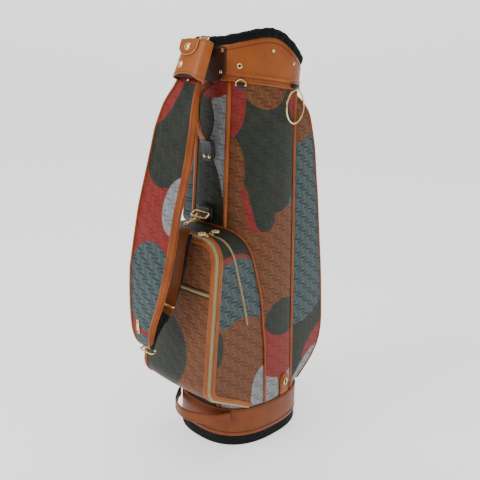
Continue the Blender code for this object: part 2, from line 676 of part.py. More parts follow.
def make_strap_sleeve():
    """Leather sleeve round the pad's upper end and the snap hook, open at both ends."""
    low, high = Vector((0, -0.1602, 0.7952)), Vector((0, -0.1362, 0.8650))
    ahead = (high - low).normalized()
    across = Vector((1, 0, 0))
    normal = ahead.cross(across)

    def section(centre, half_width, half_thick):
        ring = []
        for a in full_turn(20):
            c, s = math.cos(a), math.sin(a)
            reach = (abs(c) ** 4 + abs(s) ** 4) ** -0.25
            ring.append(centre + across * (reach * c * half_width) + normal * (reach * s * half_thick))
        return ring
    wall = 0.0020
    stations = [(low, 0.0405, 0.0150), (high, 0.0365, 0.0142)]
    outer = [section(*station) for station in stations]
    inner = [section(centre, w - wall, t - wall) for centre, w, t in stations]
    rings = outer + inner[::-1]
    count = len(rings[0])
    points = [p for ring in rings for p in ring]
    faces = []
    for k in range(4):
        m = (k + 1) % 4
        for i in range(count):
            j = (i + 1) % count
            faces.append([k * count + i, k * count + j, m * count + j, m * count + i])
    add_part("strap_sleeve", mesh_from("strap_sleeve", points, faces), "tan_leather")
    top = high - ahead * 0.006
    face = -normal
    flap_low = top + face * 0.0168 - ahead * 0.020
    flap_high = top + face * 0.0168
    flap = ribbon("sleeve_flap", [flap_low, flap_low + ahead * 0.006, flap_high],
                  [0.020, 0.040, 0.044], [0.0022, 0.0022, 0.0022], "tan_leather")
    pivot_at(flap, flap_high)


def make_strap_hooks():
    """Snap hooks at both ends of the strap, and the lower one's sprung gate."""

    def curl_round(bar, start, stop):
        reach = 0.0063
        return [bar + Vector((0, reach * math.cos(a), reach * math.sin(a)))
                for a in spread(math.radians(start), math.radians(stop), 9)]
    shank = [Vector((0, -0.1575, 0.8060)), Vector((0, -0.1480, 0.8330)), Vector((0, -0.1405, 0.8560))]
    wire("upper_hook", shank + curl_round(STRAP_PIVOT_HIGH, 190, -50), 0.0018, "gold")
    curl = curl_round(STRAP_PIVOT_LOW, 200, -60)
    shank = [Vector((0, -0.1735, 0.5035)), Vector((0, -0.1600, 0.5085)), Vector((0, -0.1500, 0.5105))]
    wire("lower_hook", shank + curl, 0.0020, "gold")
    tip = curl[-1]
    gate = wire("lower_gate", [Vector((0, -0.1520, 0.5062)), Vector((0, tip.y - 0.0042, 0.5075))],
                0.0013, "gold")
    pivot_at(gate, Vector((0, -0.1520, 0.5062)))


def make_strap_belt():
    """Flat belt from the lower hook down past the adjuster to the buckle under the pad."""
    path = smooth_path([Vector(p) for p in (
        (-0.018, -0.2535, 0.2500), (-0.012, -0.2480, 0.2800), (-0.004, -0.2370, 0.3100),
        (0.000, -0.2220, 0.3420), (0.000, -0.2075, 0.3800), (0.002, -0.1985, 0.4250),
        (0.002, -0.1915, 0.4650), (0.002, -0.1850, 0.4880), (0.000, -0.1775, 0.4985))], 3)
    count = len(path)
    widths = [0.030 + 0.010 * min(k / 8, 1.0) for k in range(count)]
    ribbon("strap_belt", path, widths, [0.0034] * count, "tan_leather")
    x_axis = Vector((1, 0, 0))
    along = (Vector((0, -0.2075, 0.380)) - Vector((0, -0.222, 0.342))).normalized()
    wire("adjuster_ring", rounded_loop(Vector((0, -0.2215, 0.3435)), x_axis, along.cross(x_axis),
                                       0.050, 0.0120, 0.004), 0.0020, "gold", closed=True)
    wire("tail_buckle", rounded_loop(Vector((-0.018, -0.2560, 0.2450)), x_axis, Vector((0, 1, 0)),
                                     0.040, 0.016, 0.004), 0.0018, "gold", closed=True)


def make_body_core():
    """Solid of the body's outside with clearance for the pipings, used to cut the pockets."""
    heights = (0.05, BELT_TOP, 0.30, 0.55, WALL_TOP_Z, 0.85)
    rings = [[wall_point(phi, z, 0.0034) for phi in full_turn()] for z in heights]
    core = loft("body_core", rings, "plastic")
    BAG.objects.unlink(core)
    CUTTERS.objects.link(core)
    core.hide_render = True
    core.display_type = "WIRE"
    return core


clear_scene()
BAG = make_collection("golf_staff_bag")
CUTTERS = make_collection("cutters")
make_base()
make_panels()
make_collar()
make_dividers()
make_stays()
core_cutter = make_body_core()
make_ball_pocket(core_cutter)
make_pocket_zips()
make_garment_pocket(core_cutter)
make_side_pocket(core_cutter)
make_badge()
make_yoke()
make_ring_fittings()
make_carry_handle()
make_strap_pad()
make_strap_sleeve()
make_strap_hooks()
make_strap_belt()
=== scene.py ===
"""Looks of the golf staff bag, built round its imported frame."""
import json
import math
import random

import bmesh
import bpy
import numpy as np
from mathutils import Matrix, Vector
from mathutils.bvhtree import BVHTree


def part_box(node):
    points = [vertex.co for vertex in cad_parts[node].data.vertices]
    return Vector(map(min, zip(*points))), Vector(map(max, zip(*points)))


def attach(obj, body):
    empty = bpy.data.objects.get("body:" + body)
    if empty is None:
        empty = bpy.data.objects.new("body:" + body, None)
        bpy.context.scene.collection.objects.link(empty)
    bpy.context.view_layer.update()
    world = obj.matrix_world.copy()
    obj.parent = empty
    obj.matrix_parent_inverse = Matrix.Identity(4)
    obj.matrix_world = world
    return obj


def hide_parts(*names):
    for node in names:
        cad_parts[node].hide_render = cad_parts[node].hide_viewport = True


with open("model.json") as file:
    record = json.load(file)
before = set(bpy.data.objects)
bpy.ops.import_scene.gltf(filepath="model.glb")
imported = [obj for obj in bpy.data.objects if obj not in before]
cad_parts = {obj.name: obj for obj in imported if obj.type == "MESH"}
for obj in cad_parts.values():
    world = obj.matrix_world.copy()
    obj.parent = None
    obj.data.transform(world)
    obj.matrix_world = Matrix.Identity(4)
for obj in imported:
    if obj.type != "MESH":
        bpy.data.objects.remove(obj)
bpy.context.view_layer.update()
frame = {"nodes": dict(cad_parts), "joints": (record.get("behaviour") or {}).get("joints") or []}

random.seed(11)
NODES = frame["nodes"]
TAU = 2 * math.pi
UP = Vector((0, 0, 1))
X_AXIS, Y_AXIS = Vector((1, 0, 0)), Vector((0, 1, 0))

# ---- the body's shape, in metres --------------------------------------------------------------
OVAL = 2.5
BOOT = (0.1153, 0.1328)
BOOT_HEIGHT, BELT_TOP = 0.0227, 0.0904
WALL_BASE, WALL_TOP, WALL_TOP_Z = (0.1125, 0.1295), (0.0935, 0.1025), 0.790
RIM_WAVE = (0.8494, 0.0273, -0.0160, -0.0053, 0.0020)
FRONT_PIPING, REAR_PIPING = math.radians(24), math.radians(121)
PAINT_RADIUS = 0.110              # turns an angle round the body into metres for the colour patches


def oval_point(half_x, half_y, phi, z):
    s, c = math.sin(phi), math.cos(phi)
    reach = (abs(s / half_x) ** OVAL + abs(c / half_y) ** OVAL) ** (-1 / OVAL)
    return Vector((reach * s, -reach * c, z))


def wall(phi, z, offset=0.0):
    share = min(max((z - BELT_TOP) / (WALL_TOP_Z - BELT_TOP), 0), 1)
    half_x, half_y = (low + share * (high - low) + offset for low, high in zip(WALL_BASE, WALL_TOP))
    return oval_point(half_x, half_y, phi, z)


def wall_normal(phi, z):
    tangent = wall(phi + 0.01, z) - wall(phi - 0.01, z)
    return tangent.cross(UP).normalized()


def wall_frame(phi, z, offset):
    """A point on the wall with its outward normal and the level direction beside it."""
    normal = wall_normal(phi, z)
    return wall(phi, z, offset), normal, UP.cross(normal).normalized()


def front_y(z):
    """Depth of the wall's foremost line at a height."""
    return -(WALL_BASE[1] + (z - BELT_TOP) / (WALL_TOP_Z - BELT_TOP) * (WALL_TOP[1] - WALL_BASE[1]))


def seam_z(phi):
    return 0.7785 - 0.13 * wall(phi, WALL_TOP_Z).y


def left_drop(phi):
    """How much lower the collar's top edge is on the left side than on the right."""
    return 0.032 * min(math.sin(phi), 0) ** 2


def rim_z(phi):
    return sum(term * math.cos(k * phi) for k, term in enumerate(RIM_WAVE)) - left_drop(phi)


# ---- materials ----------------------------------------------------------------------------------
class Graph:
    """Small helper that builds one material's nodes."""

    def __init__(self, name, rough=0.5, metallic=0.0, colour=(0.5, 0.5, 0.5), shine=0.25):
        self.material = bpy.data.materials.new(name)
        self.material.use_nodes = True
        self.tree = self.material.node_tree
        self.shader = self.tree.nodes["Principled BSDF"]
        self.set("Roughness", rough)
        self.set("Metallic", metallic)
        self.set("Base Color", (*colour, 1))
        self.set("Specular IOR Level", shine)

    def set(self, socket, value):
        if isinstance(value, bpy.types.NodeSocket):
            self.tree.links.new(value, self.shader.inputs[socket])
        else:
            self.shader.inputs[socket].default_value = value

    def node(self, kind, output, **values):
        node = self.tree.nodes.new(kind)
        for key, value in values.items():
            if key.startswith("in_"):
                slot = key[3:]
                socket = node.inputs[int(slot)] if slot.isdigit() else node.inputs[slot.replace("_", " ")]
                if isinstance(value, bpy.types.NodeSocket):
                    self.tree.links.new(value, socket)
                else:
                    socket.default_value = value
            else:
                setattr(node, key, value)
        return node.outputs[output]

    def math(self, operation, a, b=0.0, c=0.0):
        return self.node("ShaderNodeMath", 0, operation=operation, in_0=a, in_1=b, in_2=c)

    def step(self, value, low, high):
        return self.node("ShaderNodeMapRange", 0, interpolation_type="SMOOTHSTEP", in_0=value, in_1=low,
                         in_2=high, in_3=0.0, in_4=1.0)

    def mix(self, factor, a, b, blend="MIX"):
        node = self.tree.nodes.new("ShaderNodeMix")
        node.data_type = "RGBA"
        node.blend_type = blend
        for socket, value in ((node.inputs[0], factor), (node.inputs[6], a), (node.inputs[7], b)):
            if isinstance(value, bpy.types.NodeSocket):
                self.tree.links.new(value, socket)
            elif isinstance(value, (int, float)):
                socket.default_value = value
            else:
                socket.default_value = (*value, 1) if len(value) == 3 else value
        return node.outputs[2]

    def place(self):
        return self.node("ShaderNodeTexCoord", "Object")

    def noise(self, scale, detail=2.0, rough=0.5):
        return self.node("ShaderNodeTexNoise", 0, in_Vector=self.place(), in_Scale=scale, in_Detail=detail,
                         in_Roughness=rough)

    def cells(self, scale, feature="F1"):
        return self.node("ShaderNodeTexVoronoi", "Distance", feature=feature, in_Scale=scale,
                         in_Vector=self.place(), in_Randomness=1.0)

    def bump(self, height, strength=0.3, distance=0.001, under=None):
        values = {"in_Height": height, "in_Strength": strength, "in_Distance": distance}
        if under is not None:
            values["in_Normal"] = under
        return self.node("ShaderNodeBump", 0, **values)

    def attribute(self, name, output="Fac"):
        return self.node("ShaderNodeAttribute", output, attribute_name=name)


CAMO = {
    "green": (0.026, 0.032, 0.024),
    "red": (0.240, 0.026, 0.022),
    "brown": (0.160, 0.056, 0.021),
    "teal": (0.056, 0.086, 0.090),
    "grey": (0.250, 0.255, 0.265),
}
# Strength of the pressed pattern per colour; it scales the bump and also the painted highlight and shadow in the
# colour.
RELIEF = {"green": 0.36, "red": 0.36, "brown": 0.58, "teal": 0.95, "grey": 0.50}


def camo_material():
    g = Graph("camo_canvas", rough=0.46, shine=0.16)
    colour, strength = (*CAMO["green"], 1), RELIEF["green"]
    for name in ("red", "brown", "teal", "grey"):
        inside = g.step(g.attribute("camo_" + name), -0.0008, 0.0002)
        colour = g.mix(inside, colour, CAMO[name])
        strength = g.node("ShaderNodeMix", 0, data_type="FLOAT", in_0=inside, in_2=strength,
                          in_3=RELIEF[name])
    panel = g.node("ShaderNodeSeparateXYZ", "X", in_Vector=g.attribute("panel", "Vector"))
    across = panel
    along = panel.node.outputs["Y"]
    row_height, column_width = 0.0310, 0.0205
    column_place = g.math("DIVIDE", across, column_width)
    column = g.math("FLOOR", column_place)
    cell_x = g.math("SUBTRACT", g.math("SUBTRACT", column_place, column), 0.5)
    odd = g.math("MODULO", g.math("ABSOLUTE", column), 2.0)
    row_place = g.math("ADD", g.math("DIVIDE", along, row_height), g.math("MULTIPLY", odd, 0.5))
    cell_y = g.math("SUBTRACT", g.math("FRACT", row_place), 0.5)
    half_turn = g.math("SIGN", cell_y)
    fold_x, fold_y = g.math("MULTIPLY", cell_x, half_turn), g.math("ABSOLUTE", cell_y)
    slant = g.math("ABSOLUTE", g.math("MULTIPLY_ADD", fold_y, 0.60, fold_x))
    stroke_highlight = g.math("MULTIPLY", g.step(slant, 0.105, 0.055), g.step(fold_y, 0.46, 0.43))
    from_end = g.math("ADD", fold_x, 0.24)
    below = g.math("MULTIPLY_ADD", from_end, -0.14, g.math("SUBTRACT", 0.45, fold_y))
    thick = g.math("MULTIPLY_ADD", from_end, -0.26, 0.20)
    inside_bar = g.math("MULTIPLY", g.step(below, 0.0, 0.02), g.step(g.math("SUBTRACT", below, thick), 0.02, 0.0))
    bar = g.math("MULTIPLY", inside_bar, g.step(from_end, -0.02, 0.03))
    bar = g.math("MULTIPLY", bar, g.step(from_end, 0.66, 0.60))
    gap_shadow = g.math("MULTIPLY", g.step(g.math("SUBTRACT", below, thick), 0.0, 0.03),
                 g.step(g.math("SUBTRACT", below, thick), 0.20, 0.05))
    gap_shadow = g.math("MULTIPLY", gap_shadow, g.step(from_end, 0.10, 0.22))
    seam = g.step(below, 0.0, -0.03)
    # Painted light: the light strokes and bars are painted highlight, the dark gaps and row seams painted shadow.
    light = g.math("MAXIMUM", stroke_highlight, g.math("MULTIPLY", bar, 0.55))
    dark = g.math("MULTIPLY", g.math("MAXIMUM", gap_shadow, seam), g.math("SUBTRACT", 1.0, light))
    ridge = g.math("SUBTRACT", light, dark)
    relief = g.math("MULTIPLY", ridge, strength)
    # shade multiplies this painted highlight and shadow into the canvas colour; relief also drives the bump.
    shade = g.math("ADD", 1.0, g.math("MULTIPLY", relief, 0.55))
    tone = g.node("ShaderNodeCombineColor", 0, in_Red=shade, in_Green=shade, in_Blue=shade)
    colour = g.mix(1.0, colour, tone, "MULTIPLY")
    mottle = g.noise(34, 4, 0.6)
    colour = g.mix(g.math("MULTIPLY", g.step(mottle, 0.35, 0.75), 0.10), colour, (0.16, 0.13, 0.09))
    warp = g.node("ShaderNodeTexWave", 1, in_Vector=g.attribute("panel", "Vector"), in_Scale=260.0,
                  in_Distortion=0.6, bands_direction="X")
    weft = g.node("ShaderNodeTexWave", 1, in_Vector=g.attribute("panel", "Vector"), in_Scale=260.0,
                  in_Distortion=0.6, bands_direction="Y")
    thread = g.math("MULTIPLY", warp, weft)
    colour = g.mix(g.math("MULTIPLY", thread, 0.16), colour, (0.0, 0.0, 0.0))
    g.set("Base Color", colour)
    g.set("Roughness", g.math("MULTIPLY_ADD", mottle, 0.20, 0.38))
    fine = g.bump(g.math("ADD", thread, g.noise(1500, 2)), 0.22, 0.0003)
    g.set("Normal", g.bump(relief, 0.8, 0.0007, fine))
    return g.material


def leather_material(name, colour, dark, rough=0.42, coat=0.04):
    g = Graph(name, rough=rough)
    shades = g.noise(16, 5, 0.6)
    tone = g.mix(g.step(shades, 0.30, 0.72), dark, colour)
    pores = g.cells(620.0, "DISTANCE_TO_EDGE")
    tone = g.mix(g.math("MULTIPLY", g.step(pores, 0.10, 0.0), 0.35), tone, dark)
    fine = g.noise(230, 3, 0.6)
    g.set("Base Color", tone)
    g.set("Roughness", g.math("MULTIPLY_ADD", fine, 0.22, rough - 0.11))
    g.set("Normal", g.bump(pores, 0.28, 0.0004, g.bump(fine, 0.16, 0.0006)))
    g.shader.inputs["Coat Weight"].default_value = coat
    g.shader.inputs["Coat Roughness"].default_value = 0.30
    return g.material


def metal_material(name, colour, rough=0.20):
    g = Graph(name, rough=rough, metallic=1.0)
    wear = g.noise(180, 4, 0.6)
    g.set("Base Color", g.mix(g.step(wear, 0.35, 0.8), colour, tuple(0.78 * c for c in colour)))
    g.set("Roughness", g.math("MULTIPLY_ADD", wear, 0.22, rough - 0.09))
    g.set("Normal", g.bump(g.noise(900, 2), 0.05, 0.0002))
    return g.material


def fleece_material(name, colour, tip):
    g = Graph(name, rough=0.95)
    tufts = g.cells(420)
    soft = g.noise(120, 5, 0.7)
    tone = g.mix(g.step(tufts, 0.55, 0.05), colour, tip)
    g.set("Base Color", g.mix(g.math("MULTIPLY", soft, 0.5), tone, colour))
    g.set("Normal", g.bump(g.math("SUBTRACT", soft, tufts), 0.9, 0.0016))
    g.shader.inputs["Sheen Weight"].default_value = 0.20
    g.shader.inputs["Sheen Roughness"].default_value = 0.40
    g.shader.inputs["Sheen Tint"].default_value = (0.20, 0.26, 0.30, 1)
    g.shader.inputs["Specular IOR Level"].default_value = 0.15
    return g.material


def rubber_material(name, colour=(0.008, 0.008, 0.009), rough=0.62):
    g = Graph(name, rough=rough, shine=0.15)
    dust = g.noise(45, 5, 0.65)
    g.set("Base Color", g.mix(g.step(dust, 0.45, 0.85), colour, tuple(2.6 * c for c in colour)))
    g.set("Roughness", g.math("MULTIPLY_ADD", dust, 0.25, rough - 0.1))
    g.set("Normal", g.bump(g.noise(700, 3), 0.18, 0.0004))
    return g.material


def woven_material(name, colour, dark, scale=240.0, rough=0.8):
    g = Graph(name, rough=rough)
    warp = g.node("ShaderNodeTexWave", 1, in_Vector=g.place(), in_Scale=scale, bands_direction="Z")
    weft = g.node("ShaderNodeTexWave", 1, in_Vector=g.place(), in_Scale=scale, bands_direction="X")
    weave = g.math("MULTIPLY", warp, weft)
    tone = g.mix(weave, dark, colour)
    g.set("Base Color", g.mix(g.math("MULTIPLY", g.noise(60, 4), 0.4), tone, dark))
    g.set("Normal", g.bump(weave, 0.5, 0.0005))
    g.shader.inputs["Sheen Weight"].default_value = 0.15
    return g.material


M = {
    "camo": camo_material(),
    "tan": leather_material("tan_leather", (0.385, 0.104, 0.018), (0.275, 0.066, 0.010), coat=0.0),
    # A darker copy of the tan leather for the base belt and base handle: painted shade of the bag's lower part.
    "tan_base": leather_material("tan_leather_painted_shade", (0.245, 0.058, 0.009), (0.170, 0.036, 0.005), coat=0.0),
    "tan_sleeve": leather_material("tan_sleeve_leather", (0.455, 0.140, 0.030), (0.335, 0.090, 0.017)),
    "tan_dark": leather_material("tan_binding", (0.360, 0.088, 0.016), (0.240, 0.052, 0.009)),
    "brown": leather_material("dark_leather", (0.060, 0.020, 0.012), (0.030, 0.010, 0.006), 0.40),
    "black": leather_material("black_leather", (0.016, 0.017, 0.019), (0.006, 0.006, 0.007), 0.34,
                              coat=0.3),
    "slate": leather_material("slate_leather", (0.030, 0.040, 0.045), (0.014, 0.019, 0.022), 0.36,
                              coat=0.3),
    "cut_edge": rubber_material("cut_edge", (0.50, 0.21, 0.085), 0.55),
    # Edge paint for strap and welt edges; on the strap sleeve's inner wall the same dark paint is painted shade.
    "edge": rubber_material("edge_paint_and_painted_shade", (0.045, 0.016, 0.009), 0.45),
    "dark_thread": woven_material("dark_thread", (0.070, 0.018, 0.006), (0.030, 0.008, 0.003), 900, 0.7),
    "thread": woven_material("thread", (0.215, 0.060, 0.014), (0.105, 0.028, 0.007), 900, 0.7),
    "gold": metal_material("gold", (0.92, 0.68, 0.30), 0.24),
    "copper": metal_material("copper", (0.60, 0.22, 0.09), 0.30),
    "brass_zip": metal_material("zip_brass", (0.70, 0.54, 0.27), 0.30),
    "dark_metal": metal_material("blackened_metal", (0.030, 0.030, 0.032), 0.35),
    "steel": metal_material("drawn_tube", (0.56, 0.57, 0.59), 0.33),
    "fleece": fleece_material("fleece", (0.004, 0.005, 0.006), (0.022, 0.028, 0.032)),
    "rubber": rubber_material("boot_rubber"),
    "plastic": rubber_material("moulded_plastic", (0.020, 0.021, 0.023), 0.48),
    "lining": woven_material("nylon_lining", (0.036, 0.037, 0.042), (0.014, 0.014, 0.017)),
    "webbing": woven_material("black_webbing", (0.014, 0.014, 0.016), (0.004, 0.004, 0.005), 330),
    "tape": woven_material("zip_tape", (0.40, 0.31, 0.16), (0.22, 0.16, 0.08), 420),
}


# ---- mesh helpers ---------------------------------------------------------------------------------
def add_mesh(name, points, faces, material, body=None, replaces=(), smooth=True):
    mesh = bpy.data.meshes.new(name)
    mesh.from_pydata([tuple(p) for p in points], [], [tuple(f) for f in faces])
    mesh.update()
    mesh.polygons.foreach_set("use_smooth", [smooth] * len(mesh.polygons))
    for item in material if isinstance(material, (list, tuple)) else [material]:
        mesh.materials.append(M[item])
    piece = bpy.data.objects.new(name, mesh)
    bpy.context.scene.collection.objects.link(piece)
    if body:
        finish_piece(piece, body, replaces)
    return piece


def finish_piece(piece, body, replaces=()):
    if replaces:
        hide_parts(*replaces)
    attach(piece, body)
    return piece


def grid_faces(rows, columns, close_rows=False, close_columns=False):
    faces = []
    for i in range(rows if close_rows else rows - 1):
        for j in range(columns if close_columns else columns - 1):
            a, b = (i + 1) % rows, (j + 1) % columns
            faces.append((i * columns + j, i * columns + b, a * columns + b, a * columns + j))
    return faces


def even_path(points, count):
    """Smooth curve through the points, cut into even steps."""
    points = [Vector(p) for p in points]
    ring = [2 * points[0] - points[1]] + points + [2 * points[-1] - points[-2]]
    dense = []
    for k in range(1, len(ring) - 2):
        p0, p1, p2, p3 = ring[k - 1:k + 3]
        for i in range(16):
            t = i / 16
            dense.append(0.5 * (2 * p1 + (p2 - p0) * t + (2 * p0 - 5 * p1 + 4 * p2 - p3) * t * t
                                + (3 * p1 - p0 - 3 * p2 + p3) * t ** 3))
    dense.append(ring[-2].copy())
    return resample(dense, count)


def resample(dense, count, closed=False):
    dense = np.array([tuple(p) for p in dense])
    run = np.concatenate([[0], np.cumsum(np.linalg.norm(np.diff(dense, axis=0), axis=1))])
    at = np.linspace(0, run[-1], count + 1)[:-1] if closed else np.linspace(0, run[-1], count)
    return [Vector([float(np.interp(s, run, dense[:, k])) for k in range(3)]) for s in at]


def tangents(path, closed=False):
    n = len(path)
    if closed:
        return [(path[(k + 1) % n] - path[k - 1]).normalized() for k in range(n)]
    return [(path[min(k + 1, n - 1)] - path[max(k - 1, 0)]).normalized() for k in range(n)]


def sweep(path, normals, profile, closed=False):
    """Rings of the profile's (across, out) points along a path with the given outward normals."""
    rings = []
    for point, ahead, normal in zip(path, tangents(path, closed), normals):
        across = ahead.cross(normal).normalized()
        out = across.cross(ahead)
        rings.append([point + across * a + out * b for a, b in profile])
    return rings


def rings_mesh(rings, closed=False):
    """Skin over rings of points; an open row of rings gets a cap at each end."""
    size = len(rings[0])
    points = [p for ring in rings for p in ring]
    faces = grid_faces(len(rings), size, close_rows=closed, close_columns=True)
    if not closed:
        faces.append(tuple(range(size)))
        faces.append(tuple(reversed(range((len(rings) - 1) * size, len(rings) * size))))
    return points, faces


def circle(radius, sides=10):
    return [(radius * math.cos(TAU * k / sides), radius * math.sin(TAU * k / sides)) for k in range(sides)]


def slab(width, thickness, sides):
    """Rounded flat section."""
    return [(x * width / 2, y * thickness / 2) for x, y in squircle(sides, 7, 0.5)]


def squircle(count, power, turn=0.0):
    """Points (x, y) of a rounded square of half size 1; turn shifts the start by a share of a step."""
    result = []
    for k in range(count):
        c, s = math.cos(TAU * (k + turn) / count), math.sin(TAU * (k + turn) / count)
        reach = (abs(c) ** power + abs(s) ** power) ** (-1 / power)
        result.append((reach * c, reach * s))
    return result


def frames(path, closed=False):
    """Normals carried along a path without twisting."""
    ahead = tangents(path, closed)
    normal = ahead[0].orthogonal().normalized()
    result = []
    for t in ahead:
        normal = (normal - t * normal.dot(t)).normalized()
        result.append(normal)
    return result


def tube(path, radius, closed=False, sides=10):
    return rings_mesh(sweep(path, frames(path, closed), circle(radius, sides), closed), closed)


class Group:
    """Gathers many small shapes into one piece."""

    def __init__(self):
        self.points, self.faces, self.slots = [], [], []

    def add(self, shape, slot=0):
        points, faces = shape
        start = len(self.points)
        self.points += list(points)
        self.faces += [tuple(start + i for i in face) for face in faces]
        self.slots += [slot] * len(faces)
        return self

    def piece(self, name, material, slot, body, replaces=(), smooth=True):
        made = add_mesh(name, self.points, self.faces, material, body, replaces, smooth)
        made.data.polygons.foreach_set("material_index", self.slots)
        return tidy_mesh(made)


def tidy_mesh(piece):
    cage = bmesh.new()
    cage.from_mesh(piece.data)
    bmesh.ops.recalc_face_normals(cage, faces=cage.faces)
    cage.to_mesh(piece.data)
    cage.free()
    return piece


def lathe(centre, axis, outline, sides=24):
    """Turned shape; outline is (radius, height) from its foot to its top."""
    axis = axis.normalized()
    x = axis.orthogonal().normalized()
    y = axis.cross(x)
    rings = [[centre + axis * h + (x * math.cos(TAU * k / sides) + y * math.sin(TAU * k / sides)) * r
              for k in range(sides)] for r, h in outline]
    return rings_mesh(rings)


def capsule(start, end, radius, sides=6):
    axis = end - start
    length = axis.length
    return lathe(start, axis, [(radius * 0.4, 0), (radius, radius), (radius, length - radius),
                               (radius * 0.4, length)], sides)


def stitch_row(path, normals, pitch=0.0042, length=0.0029, radius=0.00045):
    """Short threads along a path, lifted a little off it."""
    lift = 0.0002
    group = Group()
    run = np.concatenate([[0], np.cumsum([(b - a).length for a, b in zip(path, path[1:])])])
    table = np.array([tuple(p) for p in path])
    table_n = np.array([tuple(n) for n in normals])
    for k in range(int((run[-1] - length) / pitch)):
        ends = []
        for s in (k * pitch, k * pitch + length):
            point = Vector([float(np.interp(s, run, table[:, i])) for i in range(3)])
            normal = Vector([float(np.interp(s, run, table_n[:, i])) for i in range(3)]).normalized()
            ends.append(point + normal * lift)
        group.add(capsule(ends[0], ends[1], radius, 5))
    return group


def thicken(piece, depth):
    modifier = piece.modifiers.new("thickness", "SOLIDIFY")
    modifier.thickness = depth
    modifier.offset = -1.0
    return piece


# ---- colour patches ---------------------------------------------------------------------------------
def oval(colour, centre, radii, tilt=0.0):
    return colour, "oval", centre, radii, tilt


def drop(colour, start, end, r0, r1):
    return colour, "drop", start, end, (r0, r1)


def paint(piece, base, patches, where, panel):
    """Writes each colour's distance field, and the coordinates of the pressed pattern."""
    where = np.asarray(where, float)
    fields = {name: np.full(len(where), 1.0 if name == base else -1.0) for name in CAMO}
    for colour, kind, a, b, c in patches:
        if kind == "oval":
            local = where - np.array(a)
            if c:
                turn = math.radians(c)
                u = local[:, 0] * math.cos(turn) + local[:, 1] * math.sin(turn)
                v = -local[:, 0] * math.sin(turn) + local[:, 1] * math.cos(turn)
                local = np.stack([u, v], 1)
            scaled = local / np.array(b)
            k0 = np.linalg.norm(scaled, axis=1) + 1e-9
            k1 = np.linalg.norm(scaled / np.array(b), axis=1) + 1e-9
            inside = k0 * (1 - k0) / k1
        else:
            a, b = np.array(a), np.array(b)
            axis = b - a
            share = np.clip((where - a) @ axis / (axis @ axis), 0, 1)
            away = np.linalg.norm(where - (a + share[:, None] * axis), axis=1)
            inside = c[0] + (c[1] - c[0]) * share - away
        for name, field in fields.items():
            fields[name] = np.maximum(field, inside) if name == colour else np.minimum(field, -inside)
    for name, field in fields.items():
        if name != "green":
            piece.data.attributes.new("camo_" + name, "FLOAT", "POINT").data.foreach_set(
                "value", field.astype(np.float32))
    panel = np.asarray(panel, np.float32)
    spread = np.zeros((len(panel), 3), np.float32)
    spread[:, :2] = panel
    piece.data.attributes.new("panel", "FLOAT_VECTOR", "POINT").data.foreach_set(
        "vector", spread.ravel())


def A(degrees):
    """Place round the body, in metres, of an angle in degrees."""
    return math.radians(degrees) * PAINT_RADIUS


# ---- camera, light, floor ---------------------------------------------------------------------------
def stage_scene():
    turn, pitch, roll, reach = math.radians(44), math.radians(16.27), math.radians(1.5975), 1.5
    right = Vector((math.cos(turn), math.sin(turn), 0))
    level = Vector((-math.sin(turn), math.cos(turn), 0))
    ahead = level * math.cos(pitch) - UP * math.sin(pitch)
    above = right.cross(ahead)
    camera_right = right * math.cos(roll) + above * math.sin(roll)
    camera_up = above * math.cos(roll) - right * math.sin(roll)
    data = bpy.data.cameras.new("camera")
    data.lens = 52.36
    data.sensor_width = 36
    data.shift_x = -0.00697
    data.clip_start = 0.05
    camera = bpy.data.objects.new("camera", data)
    bpy.context.scene.collection.objects.link(camera)
    matrix = Matrix((camera_right, camera_up, -ahead)).transposed().to_4x4()
    matrix.translation = Vector((reach * math.sin(turn), -reach * math.cos(turn), 0.8766))
    camera.matrix_world = matrix
    bpy.context.scene.camera = camera

    g = Graph("studio_floor", rough=0.9, colour=(0.92, 0.92, 0.92))
    g.set("Base Color", g.mix(g.math("MULTIPLY", g.noise(3, 3), 0.03), (0.93, 0.93, 0.93),
                              (0.86, 0.86, 0.86)))
    g.shader.inputs["Emission Color"].default_value = (1, 1, 1, 1)
    g.shader.inputs["Emission Strength"].default_value = 0.85
    M["floor"] = g.material
    half, rise, bend = 6.0, 5.0, 1.2
    outline = [(-half, 0.0), (2.5, 0.0)]
    outline += [(2.5 + bend * math.sin(a), bend - bend * math.cos(a))
                for a in np.linspace(0.1, math.pi / 2, 10)]
    outline.append((2.5 + bend, rise))
    points = [right * s + level * y + UP * z for s in (-half, half) for y, z in outline]
    floor = add_mesh("floor", points, grid_faces(2, len(outline)), "floor")

    world = bpy.data.worlds.new("studio")
    bpy.context.scene.world = world
    world.use_nodes = True
    world.node_tree.nodes["Background"].inputs[0].default_value = (1, 1, 1, 1)
    world.node_tree.nodes["Background"].inputs[1].default_value = 0.36
    for name, place, size, power in (("key", right * -2.1 - level * 1.3 + UP * 2.2, 1.3, 42),
                                     ("fill", right * 2.2 - level * 1.2 + UP * 1.5, 1.8, 9),
                                     ("top", level * -0.1 + UP * 2.9, 1.6, 22)):
        lamp = bpy.data.lights.new(name, "AREA")
        lamp.size = size
        lamp.energy = power
        light = bpy.data.objects.new(name, lamp)
        bpy.context.scene.collection.objects.link(light)
        light.location = place
        light.rotation_euler = (Vector((0, 0, 0.45)) - place).to_track_quat("-Z", "Y").to_euler()


